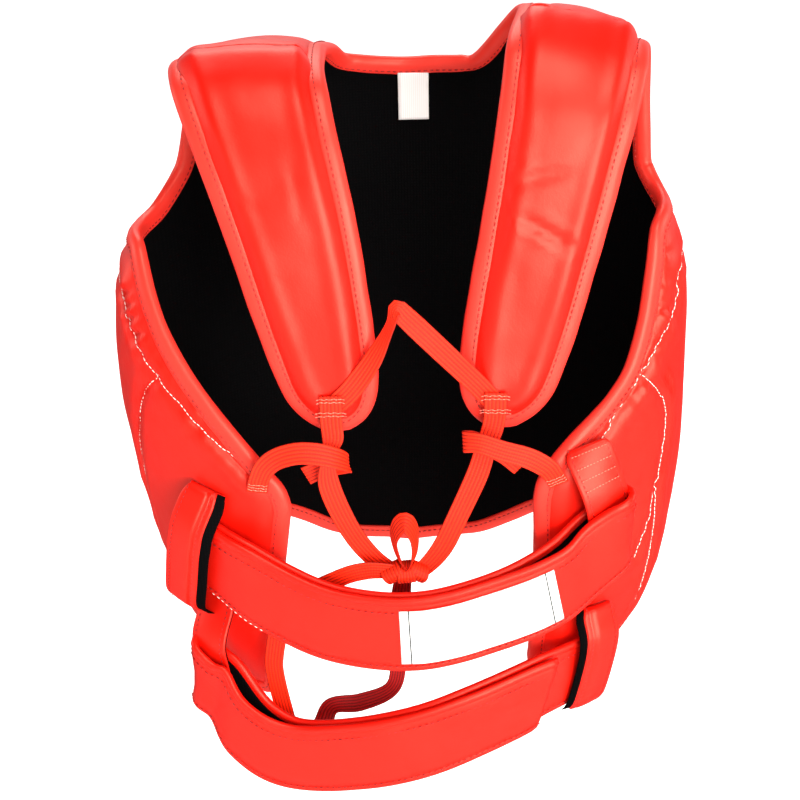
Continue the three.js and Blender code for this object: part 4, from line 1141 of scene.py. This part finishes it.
def keeperSection(width, ledge):
    thick, half = keeper["thick"] / 2 * mm, width / 2
    edge = half - abs(ledge) * mm
    upper = [(edge - inset * mm, thick * high) for inset, high in keeper["rim"]]
    upper += [(half * share, thick * high) for share, high in keeper["crown"]]
    upper += [(inset * mm - half, thick * high) for inset, high in reversed(keeper["rim"])]
    lower = [(keeper["underInset"] * mm - half, -thick)]
    lower += [(half * share, -thick) for share in keeper["under"]]
    # the ledge is black: lining drawn out past the vinyl's edge, partly real lining and partly painted shade
    # for the gap beside the strap
    if ledge:
        rim, root = keeper["ledgeHigh"]
        lower += [(half, rim * thick), (edge + keeper["ledgeGap"] * mm, root * thick)]
    section = np.array(upper + lower)
    section[:, 1] -= keeper["bow"] * mm * (section[:, 0] / half) ** 2
    return section * (-1 if ledge < 0 else 1, 1)


def keeperPaint(width):
    def black(middle, run, total):
        height = middle[1] + keeper["bow"] * mm * (middle[0] / (width / 2)) ** 2
        return 1 if height < -keeper["lined"] * keeper["thick"] / 2 * mm else 0
    return black


def leanOver(rows, along, lean):  # the foot of the band moves along the shell, at its old height over it
    leant = []
    for row, share in zip(rows, along):
        place, normal, _, far = shellTree.find_nearest(Vector(row[:3]))
        aside = Vector((0, 0, 1)).cross(normal).normalized()
        foot, out, _, _ = shellTree.find_nearest(place - aside * lean * (share - keeper["pivot"]) * mm)
        leant.append((*(foot + out * far), *row[3:6], *out))
    leant = relax(leant, keeper["ease"])
    leant[:, 3:6] = unit(np.cross(leant[:, 6:9], aheadOf(leant)))
    if leant[0, 3] < 0:
        leant[:, 3:6] *= -1
    return leant


keeperLines, tabLines = [], []
for keeperName, ownFit in keeperFit.items():
    fit = {**plainFit, **ownFit}
    rings = keeperRings("keeper_" + keeperName)
    rows = bandFrames(rings)
    width = np.ptp((rings[0] - rows[0, :3]) @ rows[0, 3:6])
    rows = relax(smoothRows(rows, keeper["step"] * mm), keeper["round"])
    if rows[0, 6] * rows[0, 0] + rows[0, 7] * rows[0, 1] < 0:
        rows[:, 6:9] *= -1  # the face looks away from the body
    if rows[0, 3] < 0:
        rows[:, 3:6] *= -1
    width -= fit["trim"] * mm
    rows[:, :3] += unit(rows[:, 3:6]) * fit["trim"] / 2 * mm
    along = np.linspace(0, 1, len(rows))
    if fit["lean"]:
        rows = leanOver(rows, along, fit["lean"])
    bulge = np.sin(along ** keeper["standEarly"] * math.pi) ** keeper["standFull"] * fit["stand"] * mm
    rows[:, :3] += unit(rows[:, 6:9]) * bulge[:, None]
    rows[:, :3] += np.array(keeper["slideWay"]) * fit["slide"] * mm
    shape = np.repeat(keeperSection(width, fit["ledge"])[None], len(rows), 0)
    rounded = keeper["corner"] * np.clip(1 - along / keeper["cornerOver"], 0, 1) ** 2
    shape[:, :, 0] *= (1 - rounded)[:, None]
    mesh = sweep("strap_keeper_" + keeperName, rows, shape, paint=keeperPaint(width))
    makePiece(mesh.name, mesh, [redVinyl, blackLining], ["keeper_" + keeperName])
    across, face = unit(rows[:, 3:6]), unit(rows[:, 6:9])
    high = face * keeper["thick"] * keeper["stitchHeight"] * mm
    for at in (-1, 1):
        inset = keeper["edge"] + (abs(fit["ledge"]) if at * fit["ledge"] > 0 else 0)
        place = rows[:, :3] + across * at * (width / 2 - inset * mm) + high
        keeperLines.append(np.hstack([place, face]))
    if keeperName == "upper_right":  # sewn in rows where it is joined to the shell
        for k in keeper["tabRows"]:
            spread = np.linspace(-keeper["tabWide"], keeper["tabWide"], keeper["tabPoints"])[:, None] * width
            place = rows[k, :3] + across[k] * spread + face[k] * keeper["thick"] * keeper["tabHeight"] * mm
            tabLines.append(np.hstack([place, np.repeat(face[k][None], keeper["tabPoints"], 0)]))
sewLines("keeper_stitches", keeperLines, keeperStitch)
sewLines("tab_stitches", tabLines, tabStitch)
print("keepers ready")


# Label and tag

label = {"height": 48 * mm, "thick": 0.8 * mm, "step": 2.0 * mm, "line": 7 * mm}
tag = {"thick": 0.7 * mm, "step": 2.0 * mm}


def flatSection(width, thick, points=9):
    over = np.linspace(-width / 2, width / 2, points)
    upper = np.stack([over, np.full(points, thick / 2)], 1)
    return np.vstack([upper, upper[::-1] * (1, -1)])


rows = smoothRows(bandFrames(sweptRings("strap_label", sides=4)), label["step"])
labelEnd = lineRun(rows[:, :3])[-1]
whiteLabel = satinLabel("satinLabel", (label["line"], labelEnd - label["line"]))
mesh = sweep("sewn_label", rows, flatSection(label["height"], label["thick"]))
makePiece("sewn_label", mesh, [whiteLabel], ["strap_label"])
tagRings = sweptRings("size_tag", sides=4)
rows = bandFrames(tagRings)
tagWidth = np.ptp((tagRings[0] - rows[0, :3]) @ rows[0, 3:6])
mesh = sweep("neck_tag", smoothRows(rows, tag["step"]), flatSection(tagWidth, tag["thick"]))
makePiece("neck_tag", mesh, [satinLabel("satinTag", ())], ["size_tag"])
print("label and tag ready")
